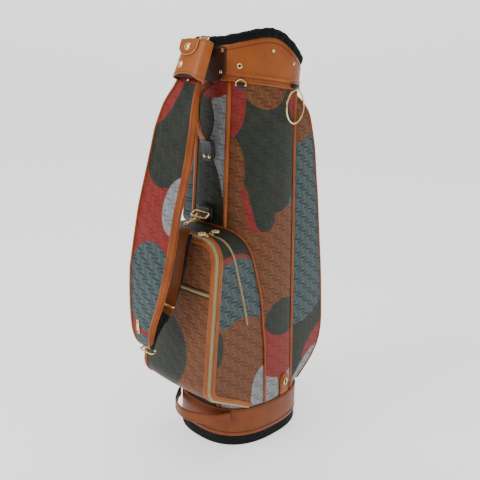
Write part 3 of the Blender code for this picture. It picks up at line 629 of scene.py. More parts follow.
# ---- body -------------------------------------------------------------------------------------------
RIGHT_PATCHES = [
    oval("grey", (A(62), 0.110), (0.066, 0.076)),
    oval("grey", (A(122), 0.140), (0.022, 0.032)),
    oval("red", (A(101), 0.225), (0.085, 0.086)),
    oval("grey", (A(54), 0.095), (0.052, 0.080)),
    oval("green", (A(104), 0.282), (0.062, 0.043)),
    drop("red", (A(47), 0.568), (A(59), 0.505), 0.014, 0.021),
    oval("green", (A(86), 0.640), (0.091, 0.118)),
    drop("green", (A(64), 0.600), (A(70), 0.512), 0.040, 0.027),
    oval("teal", (A(126), 0.538), (0.030, 0.026)),
    oval("brown", (A(120), 0.495), (0.048, 0.036)),
    oval("green", (A(32), 0.700), (0.050, 0.050)),
    oval("green", (A(58), 0.720), (0.050, 0.050)),
    oval("green", (A(106), 0.765), (0.045, 0.055)),
    oval("brown", (A(20), 0.612), (0.045, 0.082)),
    oval("red", (A(23), 0.748), (0.038, 0.070)),
    oval("brown", (A(70), 0.792), (0.062, 0.055)),
    oval("red", (A(124), 0.746), (0.034, 0.034)),
]
FRONT_PATCHES = [
    oval("grey", (A(16), 0.664), (0.050, 0.106)),
    oval("green", (A(-4), 0.560), (0.046, 0.094), 8),
    oval("green", (A(-10), 0.712), (0.031, 0.046)),
    oval("red", (A(0), 0.806), (0.070, 0.050)),
]
LEFT_PATCHES = [
    oval("red", (A(-32), 0.62), (0.040, 0.26)),
    oval("green", (A(-62), 0.66), (0.040, 0.20)),
    oval("teal", (A(-100), 0.72), (0.060, 0.070)),
    oval("brown", (A(-80), 0.30), (0.090, 0.110)),
    oval("grey", (A(-112), 0.20), (0.050, 0.080)),
    oval("teal", (A(-40), 0.20), (0.050, 0.110)),
]
REAR_PATCHES = [oval("teal", (A(180), 0.4), (0.1, 0.3)), oval("red", (A(180), 0.79), (0.05, 0.04))]


def make_walls():
    slot = 0.028
    spans = (("front_panel", -FRONT_PIPING, FRONT_PIPING, "green", FRONT_PATCHES),
             ("right_panel", FRONT_PIPING, REAR_PIPING, "brown", RIGHT_PATCHES),
             ("rear_panel", REAR_PIPING, TAU - REAR_PIPING, "brown", REAR_PATCHES),
             ("left_panel", -REAR_PIPING, -FRONT_PIPING, "green", LEFT_PATCHES))
    for name, start, stop, base, patches in spans:
        phis = np.linspace(start + slot, stop - slot, int((stop - start) / 0.030))
        points, place = [], []
        rows = 190
        for i in range(rows):
            share = i / (rows - 1)
            for phi in phis:
                low, high = 0.030, seam_z(phi) + 0.006
                z = low + share * (high - low)
                edge = min(phi - phis[0], phis[-1] - phi) / 0.05
                tuck = 0.0011 * math.exp(-(edge ** 2) * 4)
                ripple = 0.0005 * math.sin(9 * z + 5 * phi) * math.sin(4.0 * phi + 2)
                points.append(wall(phi, z, -tuck + ripple))
                place.append((phi * PAINT_RADIUS, z))
        piece = add_mesh(name + "_canvas", points, grid_faces(rows, len(phis)), "camo",
                         "bag", (name,))
        paint(piece, base, patches, place, place)
        thicken(piece, 0.0018)
    for side, node_side in ((1, "right"), (-1, "left")):
        for phi, end in ((FRONT_PIPING, "front"), (REAR_PIPING, "rear")):
            phi *= side
            node = f"{end}_{node_side}_piping"
            path = [wall(phi, z, 0.0003) for z in np.linspace(BELT_TOP + 0.001, seam_z(phi) + 0.001, 90)]
            normals = [wall_normal(phi, p.z) for p in path]
            profile = [(-0.0052, -0.0004), (-0.0036, 0.0006), (-0.0026, 0.0012), (-0.0019, 0.0026),
                       (0.0, 0.0033), (0.0019, 0.0026), (0.0026, 0.0012), (0.0036, 0.0006),
                       (0.0052, -0.0004), (0.0, -0.0016)]
            shape = rings_mesh(sweep(path, normals, profile))
            Group().add(shape).piece(node + "_cord", "tan", "tan_leather", "bag", (node,))


def ring_band(name, profile, material, slot, replaces=(), count=200):
    """Closed leather band round the body; profile(phi) gives its section in metres."""
    rings = [profile(TAU * k / count) for k in range(count)]
    shape = rings_mesh(rings, closed=True)
    return Group().add(shape).piece(name, material, slot, "bag", replaces)


def row_round(name, height, offset, bold=False):
    """A row of stitches round the body; height(phi) is where it runs. Bold ones are long, thick and dark."""
    pitch, length, radius = (0.0056, 0.0037, 0.0008) if bold else (0.0042, 0.0029, 0.00045)
    phis = np.linspace(0, TAU, 420)
    path = [wall(p, height(p), offset) for p in phis]
    normals = [wall_normal(p, height(p)) for p in phis]
    stitches = stitch_row(path, normals, pitch, length, radius)
    stitches.piece(name, "dark_thread" if bold else "thread", "tan_leather", "bag")


def make_base():
    def boot(phi):
        outline = [(-0.0050, 0.0), (-0.0012, 0.0004), (0.0, 0.0024)]
        for z in (0.0065, 0.0105, 0.0145, 0.0185):
            outline += [(0.0, z - 0.0012), (-0.0009, z - 0.0004), (-0.0009, z + 0.0004), (0.0, z + 0.0012)]
        outline += [(-0.0002, 0.0218), (-0.0012, 0.0226), (-0.0040, 0.0226), (-0.0040, 0.0050)]
        return [oval_point(BOOT[0] + o, BOOT[1] + o, phi, z) for o, z in outline]
    sole = []
    for share in np.linspace(0.05, 1, 12):
        sole.append([oval_point((BOOT[0] - 0.004) * share, (BOOT[1] - 0.004) * share, TAU * k / 96,
                                0.0010 + 0.0006 * (int(share * 40) % 2)) for k in range(96)])
    top = [[p + UP * 0.0035 for p in ring] for ring in sole]
    group = Group().add(rings_mesh([boot(TAU * k / 200) for k in range(200)], closed=True))
    group.add(rings_mesh(sole + top[::-1]))
    group.piece("boot", "rubber", "rubber", "bag", ("base_boot",))

    def belt(phi):
        outline = [(0.0008, BOOT_HEIGHT + 0.0004), (0.0028, BOOT_HEIGHT + 0.0008), (0.0033, BOOT_HEIGHT + 0.002)]
        outline += [(0.0032 + 0.0006 * math.sin(math.pi * s), BOOT_HEIGHT + 0.002 + 0.0637 * s)
                    for s in np.linspace(0.08, 0.94, 9)]
        outline += [(0.0033, BELT_TOP - 0.0014), (0.0026, BELT_TOP - 0.0002), (0.0012, BELT_TOP),
                    (0.0004, BELT_TOP - 0.002)]
        return [wall(phi, z, o) for o, z in outline]
    # The base belt takes the darker copy of the tan leather: painted shade of the bag's lower part.
    ring_band("base_belt_leather", belt, "tan_base", "tan_leather", ("base_belt",))
    row_round("base_belt_upper_stitches", lambda phi: BELT_TOP - 0.0052, 0.0036)
    row_round("base_belt_lower_stitches", lambda phi: BOOT_HEIGHT + 0.0100, 0.0039, bold=True)


def make_collar():
    def collar(phi):
        low, high = seam_z(phi), rim_z(phi)
        outline = [(0.0004, low), (0.0034, low + 0.0002), (0.0052, low + 0.0012), (0.0058, low + 0.0030),
                   (0.0048, low + 0.0048), (0.0034, low + 0.0056), (0.0037, low + 0.0068),
                   (0.0037, low + 0.0125), (0.0034, low + 0.0136), (0.0048, low + 0.0148),
                   (0.0057, low + 0.0166), (0.0048, low + 0.0184), (0.0035, low + 0.0196)]
        outline += [(0.0035 + 0.0006 * math.sin(math.pi * s), low + 0.0196 + (high - low - 0.0196) * s)
                    for s in np.linspace(0.08, 0.93, 9)]
        outline += [(0.0034, high - 0.0012), (0.0026, high), (0.0010, high), (0.0004, high - 0.002)]
        return [wall(phi, z, o) for o, z in outline]
    ring_band("collar_leather", collar, "tan", "tan_leather", ("collar_band",))
    row_round("collar_upper_stitches", lambda phi: rim_z(phi) - 0.0105, 0.0041, bold=True)
    row_round("collar_lower_stitches", lambda phi: seam_z(phi) + 0.0097, 0.0040, bold=True)

    def lining(phi):
        top = rim_z(phi) - 0.002
        outline = [(-0.0030, 0.748), (-0.0030, 0.79), (-0.0030, top), (-0.0062, top), (-0.0064, 0.79), (-0.0064, 0.748)]
        return [wall(phi, z, o) for o, z in outline]
    ring_band("collar_inner_lining", lining, "fleece", "lining", ("collar_frame",), 140)

    count, sides = 420, 22
    points = []
    for i in range(count):
        phi = TAU * i / count
        step = 0.02
        run = (wall(phi + step, WALL_TOP_Z) - wall(phi - step, WALL_TOP_Z)).length
        slope = (rim_z(phi + step) - rim_z(phi - step)) / run
        centre = wall(phi, rim_z(phi) + 0.0080 * math.sqrt(1 + slope ** 2), -0.0010)
        normal = wall_normal(phi, WALL_TOP_Z)
        gather = 0.0004 * math.sin(31 * phi + 1.3 * math.sin(5 * phi)) + 0.0004 * math.sin(17 * phi)
        for j in range(sides):
            a = TAU * j / sides
            tuft = 0.00045 * math.sin(131 * phi + 9 * a) * math.sin(5 * a + 31 * phi)
            radius = 0.0092 + gather + tuft + random.uniform(-0.00025, 0.00025)
            points.append(centre + normal * (radius * 1.02 * math.cos(a)) + UP * (radius * 1.04 * math.sin(a)))
    rim = add_mesh("fleece_rim", points, grid_faces(count, sides, True, True), "fleece", "bag",
                   ("rim_trim",))
    tidy_mesh(rim)


def rivet(group, point, normal, radius=0.0034, slot=0):
    dome = [(radius, -0.0004), (radius, 0.0003)]
    dome += [(radius * math.cos(a), 0.0003 + 0.42 * radius * math.sin(a)) for a in np.linspace(0.12, 1.52, 9)]
    group.add(lathe(point, normal, dome, 28), slot)


def make_studs():
    group = Group()
    for side in (1, -1):
        for degrees, z in ((73, 0.851), (109.5, 0.826), (150, 0.802)):
            phi = side * math.radians(degrees)
            rivet(group, wall(phi, z - left_drop(phi), 0.0044), wall_normal(phi, z))
        phi, z = side * math.radians(35.5), 0.821 - left_drop(side * math.radians(35.5))
        point, normal = wall(phi, z, 0.0044), wall_normal(phi, z)
        group.add(lathe(point, normal, [(0.0056, -0.0003), (0.0056, 0.0005), (0.0048, 0.0012), (0.0034, 0.0013),
                                        (0.0027, 0.0007), (0.0025, -0.0003)], 28))
        group.add(lathe(point, normal, [(0.0025, -0.0002), (0.0020, 0.0001), (0.0004, 0.0001)]), 1)
    group.piece("collar_studs", ["gold", "dark_metal"], "gold", "bag")


def wall_patch(name, phis, low, high, offset, thickness, material, slot, replaces=(), columns=24, rows=16):
    """Leather patch lying on the wall; low(phi) and high(phi) are its edges."""
    outside, inside = [], []
    for i in range(rows):
        share = i / (rows - 1)
        for phi in np.linspace(phis[0], phis[1], columns):
            z = low(phi) + share * (high(phi) - low(phi))
            rim = min(share, 1 - share) * (rows - 1)
            side = min(phi - phis[0], phis[1] - phi) / (phis[1] - phis[0]) * (columns - 1)
            soft = thickness * (1 - 0.55 * math.exp(-1.2 * min(rim, side)))
            outside.append(wall(phi, z, offset + soft))
            inside.append(wall(phi, z, offset))
    count = len(outside)
    faces = grid_faces(rows, columns)
    faces += [tuple(reversed([i + count for i in face])) for face in faces]
    loop = ([k for k in range(columns)] + [r * columns + columns - 1 for r in range(1, rows)]
            + [(rows - 1) * columns + k for k in reversed(range(columns - 1))]
            + [r * columns for r in reversed(range(1, rows - 1))])
    for a, b in zip(loop, loop[1:] + loop[:1]):
        faces.append((a, a + count, b + count, b))
    return Group().add((outside + inside, faces)).piece(name, material, slot, "bag", replaces)


def make_yoke():
    half = math.radians(21)

    def low(phi):
        return 0.7855 + 0.020 * (abs(phi) / half) ** 3

    def high(phi):
        return rim_z(phi) - 0.0015 - 0.006 * (abs(phi) / half) ** 6
    wall_patch("yoke_leather", (-half, half), low, high, 0.0046, 0.0018, "brown", "dark_leather", ("front_yoke",))
    inner = half - 0.030
    path = [wall(-inner, z, 0.0066) for z in np.linspace(high(inner) - 0.004, low(inner) + 0.004, 30)]
    path += [wall(p, low(p) + 0.004, 0.0066) for p in np.linspace(-inner, inner, 40)[1:-1]]
    path += [wall(inner, z, 0.0066) for z in np.linspace(low(inner) + 0.004, high(inner) - 0.004, 30)]
    stitches = stitch_row(path, [Vector((p.x, p.y, 0)).normalized() for p in path])
    stitches.piece("yoke_stitches", "thread", "dark_leather", "bag")
    group = Group()
    for side in (1, -1):
        for x, z, slot in ((0.0315, 0.849, 1), (0.0285, 0.8085, 0)):
            phi = side * math.atan2(x, 0.105)
            rivet(group, wall(phi, z, 0.0066), wall_normal(phi, z), 0.0036, slot)
    group.piece("yoke_rivets", ["gold", "copper"], "gold", "bag")


def make_inside():
    for name, node, ends in (
            ("front_bar_fleece", "front_divider_bar", ((-0.0830, -0.030, 0.800), (0.0830, -0.030, 0.800))),
            ("rear_bar_fleece", "rear_divider_bar", ((-0.0812, 0.036, 0.800), (0.0812, 0.036, 0.800))),
            ("centre_bar_fleece", "centre_divider_bar", ((0, -0.0217, 0.800), (0, 0.0277, 0.800)))):
        start, end = Vector(ends[0]), Vector(ends[1])
        count = int((end - start).length / 0.0018)
        axis = (end - start).normalized()
        side = axis.cross(UP)
        rings = []
        for i in range(count + 1):
            centre = start.lerp(end, i / count)
            rings.append([])
            for j in range(20):
                a = TAU * j / 20
                radius = 0.0079 + 0.0004 * math.sin(i * 1.7) * math.sin(3 * a + i) + random.uniform(-0.0003, 0.0003)
                rings[-1].append(centre + side * (radius * math.cos(a)) + UP * (radius * math.sin(a)))
        piece = Group().add(rings_mesh(rings)).piece(name, "fleece", "fleece", "bag", (node,))
    for name, node, y in (("front_divider_cloth", "front_divider_sheet", -0.030),
                          ("rear_divider_cloth", "rear_divider_sheet", 0.036)):
        points = []
        rows, columns = 150, 36
        for i in range(rows):
            z = 0.0110 + (0.7905 - 0.0110) * i / (rows - 1)
            for j in range(columns):
                x = -0.0748 + 0.1496 * j / (columns - 1)
                sway = 0.0007 * math.sin(60 * x + 6 * z) * math.sin(9 * z + y * 40)
                points.append(Vector((x, y + sway, z)))
        sheet = add_mesh(name, points, grid_faces(rows, columns), "lining", "bag", (node,))
    for name, material in (("base_tray", "plastic"), ("right_stay_rod", "steel"), ("left_stay_rod", "steel")):
        NODES[name].data.materials.clear()
        NODES[name].data.materials.append(M[material])
        if material == "steel":
            for face in NODES[name].data.polygons:
                face.use_smooth = True


# ---- pockets ----------------------------------------------------------------------------------------
FACE_TOP_Y, POCKET_TOP, POCKET_HALF, CORNER = -0.181, 0.492, 0.1085, 0.045
FACE_HUB, FACE_RADIUS = (-0.165, 0.177), 0.036
POCKET_CANVAS = 0.0016            # thickness of the pockets' canvas


def face_curve():
    """Side view of the ball pocket's face from its top to the belt, as (y, z) in even steps."""
    line = [(FACE_TOP_Y, POCKET_TOP), (FACE_HUB[0] - FACE_RADIUS, FACE_HUB[1])]
    for degrees in range(186, 246, 6):
        a = math.radians(degrees)
        line.append((FACE_HUB[0] + FACE_RADIUS * math.cos(a), FACE_HUB[1] + FACE_RADIUS * math.sin(a)))
    end = line[-1]
    drop_z = end[1] - (BELT_TOP + 0.002)
    line.append((end[0] + drop_z / math.tan(math.radians(27)), BELT_TOP + 0.002))
    return resample([Vector((0, y, z)) for y, z in line], 400)


FACE_LINE = face_curve()
FACE_RUN = np.concatenate([[0], np.cumsum([(b - a).length for a, b in zip(FACE_LINE, FACE_LINE[1:])])])


def face_at(s):
    """Point and outward normal of the face's side curve at a run s from its top."""
    s = min(max(s, 0.0), FACE_RUN[-1])
    y = float(np.interp(s, FACE_RUN, [p.y for p in FACE_LINE]))
    z = float(np.interp(s, FACE_RUN, [p.z for p in FACE_LINE]))
    k = min(int(np.searchsorted(FACE_RUN, s)), len(FACE_LINE) - 3)
    k = max(k, 2)
    ahead = (FACE_LINE[k + 2] - FACE_LINE[k - 2]).normalized()
    return Vector((0, y, z)), Vector((0, ahead.z, -ahead.y))


def ball_edge(count=260):
    """Edge of the ball pocket's face: points, face normals, normals in the face plane, and runs."""
    total = FACE_RUN[-1]
    outline = [Vector((POCKET_HALF, total, 0)), Vector((POCKET_HALF, CORNER, 0))]
    for k in range(1, 13):
        a = math.pi / 2 * k / 12
        outline.append(Vector((POCKET_HALF - CORNER + CORNER * math.cos(a), CORNER - CORNER * math.sin(a), 0)))
    outline += [Vector((-p.x, p.y, 0)) for p in reversed(outline)]
    flat = resample(outline, count)
    edge, out_face, out_side = [], [], []
    for k, p in enumerate(flat):
        point, normal = face_at(p.y)
        point.x = p.x
        before, after = flat[max(k - 2, 0)], flat[min(k + 2, count - 1)]
        turn = (after - before).normalized()
        down = Vector((0, -normal.z, normal.y))
        if down.z > 0:
            down = -down
        side = Vector((-turn.y, 0, 0)) + down * turn.x
        edge.append(point)
        out_face.append(normal)
        out_side.append(side.normalized())
    return edge, out_face, out_side, flat


WALL_LINE = ((73.0, 0.093), (72.5, 0.150), (71.1, 0.235), (68.4, 0.273), (66.8, 0.311), (64.4, 0.348), (60.0, 0.384),
             (55.6, 0.421), (50.3, 0.452), (41.9, 0.477), (30.0, 0.491), (14.3, 0.496), (0.0, 0.497))


def wall_curve(line, offset):
    half = [wall(math.radians(d), z, offset) for d, z in line]
    return half + [Vector((-p.x, p.y, p.z)) for p in reversed(half[:-1])]


def bezier(a, b, c, d, count):
    """Points of a cubic curve after its first one."""
    result = []
    for i in range(1, count + 1):
        t = i / count
        result.append(a * (1 - t) ** 3 + b * (3 * t * (1 - t) ** 2) + c * (3 * t * t * (1 - t)) + d * t ** 3)
    return result


def pocket_sheet(name, edge, out_face, out_side, spine, back, crown, bulge, corner, replaces,
                 closed=False, columns=(26, 8, 30)):
    """Soft pocket: face, rounded edge and gusset in one sheet. Returns it with its columns' tags."""
    points, tags = [], []
    inner, middle, outer = columns
    for k, point in enumerate(edge):
        f, g = out_face[k], out_side[k]
        face_end, side_end = point - g * corner, point - f * corner
        for i in range(inner):
            share = i / inner
            raised = crown * (1 - share ** 2.5)
            points.append(spine[k].lerp(face_end, share) + f * raised)
            tags.append(0)
        centre = point - (f + g) * corner
        for i in range(middle + 1):
            a = math.pi / 2 * i / middle
            points.append(centre + f * (corner * math.cos(a)) + g * (corner * math.sin(a)))
            tags.append(1)
        reach = (back[k] - side_end).length
        under = min(max(-1.8 * f.z, 0.0), 1.0)
        first = side_end - f * (reach * 0.42 * (1 - under)) + (back[k] - side_end) * (0.42 * under)
        second = back[k] + (side_end - back[k]) * 0.35 + g * bulge
        points += bezier(side_end, first, second, back[k], outer)
        tags += [2] * outer
    size = inner + middle + 1 + outer
    piece = add_mesh(name, points, grid_faces(len(edge), size, close_rows=closed), "camo", "bag", replaces)
    tidy_mesh(piece)
    weld = piece.modifiers.new("middle", "WELD")
    weld.merge_threshold = 0.0002
    return piece, np.array([tuple(p) for p in points]), np.array(tags)


def orient(piece, direction):
    """Turns the faces so that the first one looks roughly along a direction."""
    if piece.data.polygons[0].normal.dot(direction) < 0:
        piece.data.flip_normals()


def surface_of(piece):
    mesh = piece.data
    return BVHTree.FromPolygons([v.co for v in mesh.vertices], [tuple(p.vertices) for p in mesh.polygons])


def lay_on(tree, path, lift=0.0, outward=None):
    """Moves a path's points onto a surface; returns them with the surface's normals."""
    placed, normals = [], []
    for k, point in enumerate(path):
        spot, normal, _, _ = tree.find_nearest(point)
        hint = outward[k] if outward else point - spot
        if normal.dot(hint) < 0:
            normal = -normal
        placed.append(spot + normal * lift)
        normals.append(normal)
    return placed, normals


def zip_run(name, path, normals, tape=0.0100, chain=0.0042, pitch=0.0022, replaces=()):
    """Zip with two tapes and interlocking teeth along a path."""
    group = Group()
    profile = [(-tape / 2, -0.0004), (-tape / 2, 0.0004), (-chain / 2, 0.0007), (chain / 2, 0.0007), (tape / 2, 0.0004),
               (tape / 2, -0.0004)]
    group.add(rings_mesh(sweep(path, normals, profile)), 0)
    run = np.concatenate([[0], np.cumsum([(b - a).length for a, b in zip(path, path[1:])])])
    heads = tangents(path)
    for k in range(int(run[-1] / pitch)):
        s = (k + 0.5) * pitch
        i = min(int(np.searchsorted(run, s)), len(path) - 1)
        point = path[i - 1].lerp(path[i], (s - run[i - 1]) / max(run[i] - run[i - 1], 1e-6))
        ahead, normal = heads[i], normals[i]
        across = ahead.cross(normal).normalized()
        side = 1 if k % 2 else -1
        a = point + normal * 0.0010 - across * (side * chain * 0.12)
        b = point + normal * 0.0010 + across * (side * chain * 0.5)
        group.add(capsule(a, b, 0.00082, 6), 1)
    group.piece(name, ["tape", "brass_zip"], "zip_tape", "bag", replaces)


def welt(name, path, normals, width, material, height=0.0016):
    """Leather strip with a rounded back."""
    profile = [(-width / 2, -0.0010), (-width / 2, height * 0.5), (-width * 0.32, height), (0, height * 1.08),
               (width * 0.32, height), (width / 2, height * 0.5), (width / 2, -0.0010)]
    Group().add(rings_mesh(sweep(path, normals, profile))).piece(name, material, "tan_leather", "bag")


BALL_FACE = [
    oval("green", (-0.066, 0.228), (0.106, 0.098)),
    oval("teal", (-0.100, 0.292), (0.046, 0.034)),
    oval("red", (-0.060, 0.128), (0.058, 0.032)),
]
BALL_SIDE = [
    oval("green", (-0.110, 0.500), (0.140, 0.095)),
    oval("red", (-0.120, 0.378), (0.096, 0.074), -24),
    oval("teal", (-0.118, 0.366), (0.092, 0.078), -24),
    oval("brown", (-0.100, 0.210), (0.092, 0.108), 20),
    oval("green", (-0.178, 0.262), (0.016, 0.040)),
    oval("grey", (-0.040, 0.122), (0.038, 0.062)),
]


def make_ball_pocket():
    edge, out_face, out_side, flat = ball_edge()
    spine = []
    for point, p in zip(edge, flat):
        s = max(p.y, 0.075)
        spot, _ = face_at(s)
        spot.x = 0.0 if p.y > 0.02 else 0.35 * point.x
        spine.append(spot)
    back_line = wall_curve(WALL_LINE, 0.0006)
    dense = even_path(back_line, 900)
    back = []
    total = len(edge)
    for k, p in enumerate(flat):
        if p.y > CORNER * 0.9:
            level = max(edge[k].z - 0.004, 0.094)
            side = [q for q in dense if (q.x > 0) == (p.x > 0)]
            back.append(min(side, key=lambda q: abs(q.z - level)).copy())
        else:
            back.append(None)
    first = next(k for k, q in enumerate(back) if q is None)
    last = total - 1 - next(k for k, q in enumerate(reversed(back)) if q is None)
    between = [q for q in dense if q.z > back[first - 1].z - 1e-4]
    fill = resample(between, last - first + 3)
    for k in range(first, last + 1):
        back[k] = fill[k - first + 1]
    for _ in range(6):
        back = [back[0]] + [(back[k - 1] + back[k] * 2 + back[k + 1]) / 4 for k in range(1, total - 1)] + [back[-1]]
    piece, points, tags = pocket_sheet("ball_pocket_canvas", edge, out_face, out_side, spine, back, 0.0045, 0.006,
                                       0.009, ("ball_pocket_front", "ball_pocket_gusset"))
    orient(piece, Vector((0, -1, 0)))
    front = tags == 0
    where = np.where(front[:, None], points[:, [0, 2]], points[:, [1, 2]])
    paint_two(piece, front, where, ("brown", BALL_FACE), ("brown", BALL_SIDE))
    thicken(piece, POCKET_CANVAS)
    tree = surface_of(piece)
    corner_dir = [(f + g).normalized() for f, g in zip(out_face, out_side)]
    middle = [p - (f + g) * (0.009 * (1 - math.sqrt(0.5))) for p, f, g in zip(edge, out_face, out_side)]
    zip_run("main_zip", middle, corner_dir, tape=0.0085, chain=0.0050, replaces=("ball_pocket_zip",))
    for name, factor_f, factor_g in (("main_zip_face_welt", -0.0020, -0.0108),
                                     ("main_zip_side_welt", -0.0108, -0.0020)):
        path = [p + f * factor_f + g * factor_g for p, f, g in zip(edge, out_face, out_side)]
        path, normals = lay_on(tree, path, 0.0004, corner_dir)
        welt(name, path, normals, 0.0090, "tan")
        groove = [p + n * 0.0016 for p, n in zip(path, normals)]
        stitch_row(groove, normals, 0.0044).piece(name + "_stitches", "thread", "tan_leather", "bag")
    normals = [(Vector((q.x, q.y, 0)).normalized() * 0.6 + g * 0.8).normalized() for q, g in zip(back, out_side)]
    piping("ball_pocket_back_piping", [q + n * 0.0018 for q, n in zip(back, normals)])
    gusset_zip(tree)
    face_zip(tree)


def piping(name, path, radius=0.0026, closed=False):
    """Round leather cord sewn into a seam."""
    Group().add(tube(path, radius, closed=closed)).piece(name, "tan_dark", "tan_leather", "bag")


def paint_two(piece, front, where, face_look, side_look):
    """Paints a pocket whose face and gusset have their own base colour and patches."""
    names = [n for n in CAMO if n != "green"]
    result = {n: np.zeros(len(where), np.float32) for n in names}
    for mask, (base, patches) in ((front, face_look), (~front, side_look)):
        probe = bpy.data.meshes.new("probe")
        probe.vertices.add(len(where))
        holder = bpy.data.objects.new("probe", probe)
        paint(holder, base, patches, where, where)
        for n in names:
            values = np.zeros(len(where), np.float32)
            probe.attributes["camo_" + n].data.foreach_get("value", values)
            result[n][mask] = values[mask]
        bpy.data.objects.remove(holder)
        bpy.data.meshes.remove(probe)
    for n in names:
        piece.data.attributes.new("camo_" + n, "FLOAT", "POINT").data.foreach_set("value", result[n])
    spread = np.zeros((len(where), 3), np.float32)
    spread[:, :2] = where
    piece.data.attributes.new("panel", "FLOAT_VECTOR", "POINT").data.foreach_set("vector", spread.ravel())


def gusset_zip(tree):
    line = [(0.060, -0.160, 0.4945), (0.085, -0.148, 0.485), (0.1035, -0.139, 0.462), (0.112, -0.126, 0.420),
            (0.112, -0.108, 0.356), (0.112, -0.094, 0.295)]
    path = even_path([Vector(p) for p in line], 90)
    hints = [Vector((1, 0, 0.5))] * len(path)
    path, _ = lay_on(tree, path, 0.0005, hints)
    path, normals = lay_on(tree, resample(path, 90), 0.0005, hints)
    zip_run("gusset_zip", path, normals, tape=0.0060, chain=0.0032, pitch=0.0018)


def line_on(tree, start, end, count, lift):
    """Lays a straight line, given just off a pocket, onto it; returns its points and the pocket's normals there."""
    path = [Vector(p) for p in np.linspace(start, end, count)]
    middle = (Vector(start) + Vector(end)) / 2
    outward = X_AXIS * math.copysign(1, middle.x) if abs(middle.x) > 0.15 else Y_AXIS * math.copysign(1, middle.y)
    return lay_on(tree, path, lift, [outward] * count)


def face_zip(tree):
    path, normals = line_on(tree, (-0.094, -0.190, 0.379), (0.094, -0.190, 0.379), 90, 0.0004)
    zip_run("face_zip", path, normals, tape=0.0078, chain=0.0034, pitch=0.0018)
    for name, z in (("face_zip_upper_edge", 0.3845), ("face_zip_lower_edge", 0.3735)):
        path, normals = line_on(tree, (-0.094, -0.190, z), (0.094, -0.190, z), 90, 0.0006)
        welt(name, path, normals, 0.0030, "edge", height=0.0008)


# ---- rear and side pockets --------------------------------------------------------------------------
GARMENT_LINE = ((0.0660, 0.768), (0.0805, 0.757), (0.0975, 0.737), (0.1105, 0.711), (0.1285, 0.648), (0.1390, 0.580),
                (0.1465, 0.535), (0.1605, 0.426), (0.1700, 0.350), (0.1770, 0.262), (0.1785, 0.233), (0.1765, 0.203),
                (0.1670, 0.172), (0.1440, 0.141), (0.1120, 0.114), (0.0850, 0.095))
GARMENT_SIDE = [
    oval("brown", (0.060, 0.740), (0.075, 0.078)),
    oval("green", (0.120, 0.190), (0.125, 0.110)),
    oval("teal", (0.080, 0.400), (0.135, 0.152)),
    oval("brown", (0.070, 0.745), (0.060, 0.082)),
    oval("red", (0.158, 0.192), (0.066, 0.024), 35),
    oval("grey", (0.118, 0.134), (0.060, 0.020), 35),
]
GARMENT_BACK = [
    oval("brown", (-0.030, 0.700), (0.090, 0.090)),
    oval("red", (0.060, 0.560), (0.060, 0.070)),
    oval("green", (-0.050, 0.470), (0.080, 0.110)),
    oval("teal", (0.070, 0.380), (0.060, 0.110)),
    oval("brown", (-0.030, 0.260), (0.085, 0.075)),
    oval("grey", (0.075, 0.205), (0.045, 0.065)),
]


def make_garment_pocket():
    line = even_path([Vector((0, y, z)) for y, z in GARMENT_LINE], 170)
    heads = tangents(line)
    points, tags = [], []
    inner, middle, outer = 22, 6, 22
    corner = 0.009
    edges = {1: [], -1: []}
    for k, p in enumerate(line):
        out = Vector((0, -heads[k].z, heads[k].y))
        if out.y < 0:
            out = -out
        share = (p.z - 0.095) / (0.757 - 0.095)
        half = 0.0985 - 0.013 * share - 0.012 * max(0, (share - 0.93) / 0.07) ** 2
        fade = min(1.0, (0.757 - p.z) / 0.05, (p.z - 0.095) / 0.03)
        fade = max(fade, 0.0)
        row = {}
        for side in (1, -1):
            g = Vector((side, 0, 0))
            mid = Vector((0, p.y, p.z))
            edge = mid + g * half
            back = wall(side * (REAR_PIPING - 0.004), p.z, 0.0006)
            reach = edge.y - back.y
            r = min(corner, max(reach * 0.45, 0.001))
            cells, marks = [], []
            for i in range(inner):
                s = i / inner
                crown = 0.004 * fade * (1 - s ** 2.5)
                spot = mid.lerp(edge - g * r, s) + out * crown
                spot.y = over_wall(spot)
                cells.append(spot)
                marks.append(0)
            centre = edge - g * r - out * r
            for i in range(middle + 1):
                a = math.pi / 2 * i / middle
                cells.append(centre + out * (r * math.cos(a)) + g * (r * math.sin(a)))
                marks.append(1)
            start = centre + g * r
            first = start - Vector((0, reach * 0.4, 0)) + g * (0.005 * fade)
            second = back + (start - back) * 0.3 + g * (0.004 * fade)
            cells += bezier(start, first, second, back, outer)
            marks += [2] * outer
            row[side] = (cells, marks)
            edges[side].append(edge - (out + g) * (r * 0.29) + (out + g).normalized() * 0.0008)
        points += list(reversed(row[-1][0][1:])) + row[1][0]
        tags += list(reversed(row[-1][1][1:])) + row[1][1]
    size = len(points) // len(line)
    piece = add_mesh("garment_pocket_canvas", points, grid_faces(len(line), size), "camo", "bag",
                     ("garment_pocket",))
    orient_by(piece, Vector((0, 0.10, 0.4)))
    array = np.array([tuple(p) for p in points])
    front = np.array(tags) == 0
    where = np.where(front[:, None], array[:, [0, 2]], array[:, [1, 2]])
    paint_two(piece, front, where, ("teal", GARMENT_BACK), ("teal", GARMENT_SIDE))
    thicken(piece, POCKET_CANVAS)
    tree = surface_of(piece)
    for side, name in ((1, "right"), (-1, "left")):
        piping(f"garment_{name}_piping", edges[side][3:-3])
    path, normals = line_on(tree, (0.074, 0.2, 0.650), (0.074, 0.2, 0.262), 150, 0.0004)
    zip_run("garment_zip", path, normals, tape=0.0100, chain=0.0042)
    for dx, name in ((0.0075, "outer"), (-0.0075, "inner")):
        path, normals = line_on(tree, (0.074 + dx, 0.2, 0.656), (0.074 + dx, 0.2, 0.256), 150, 0.0002)
        welt(f"garment_zip_{name}_welt", path, normals, 0.0055, "tan", height=0.0012)


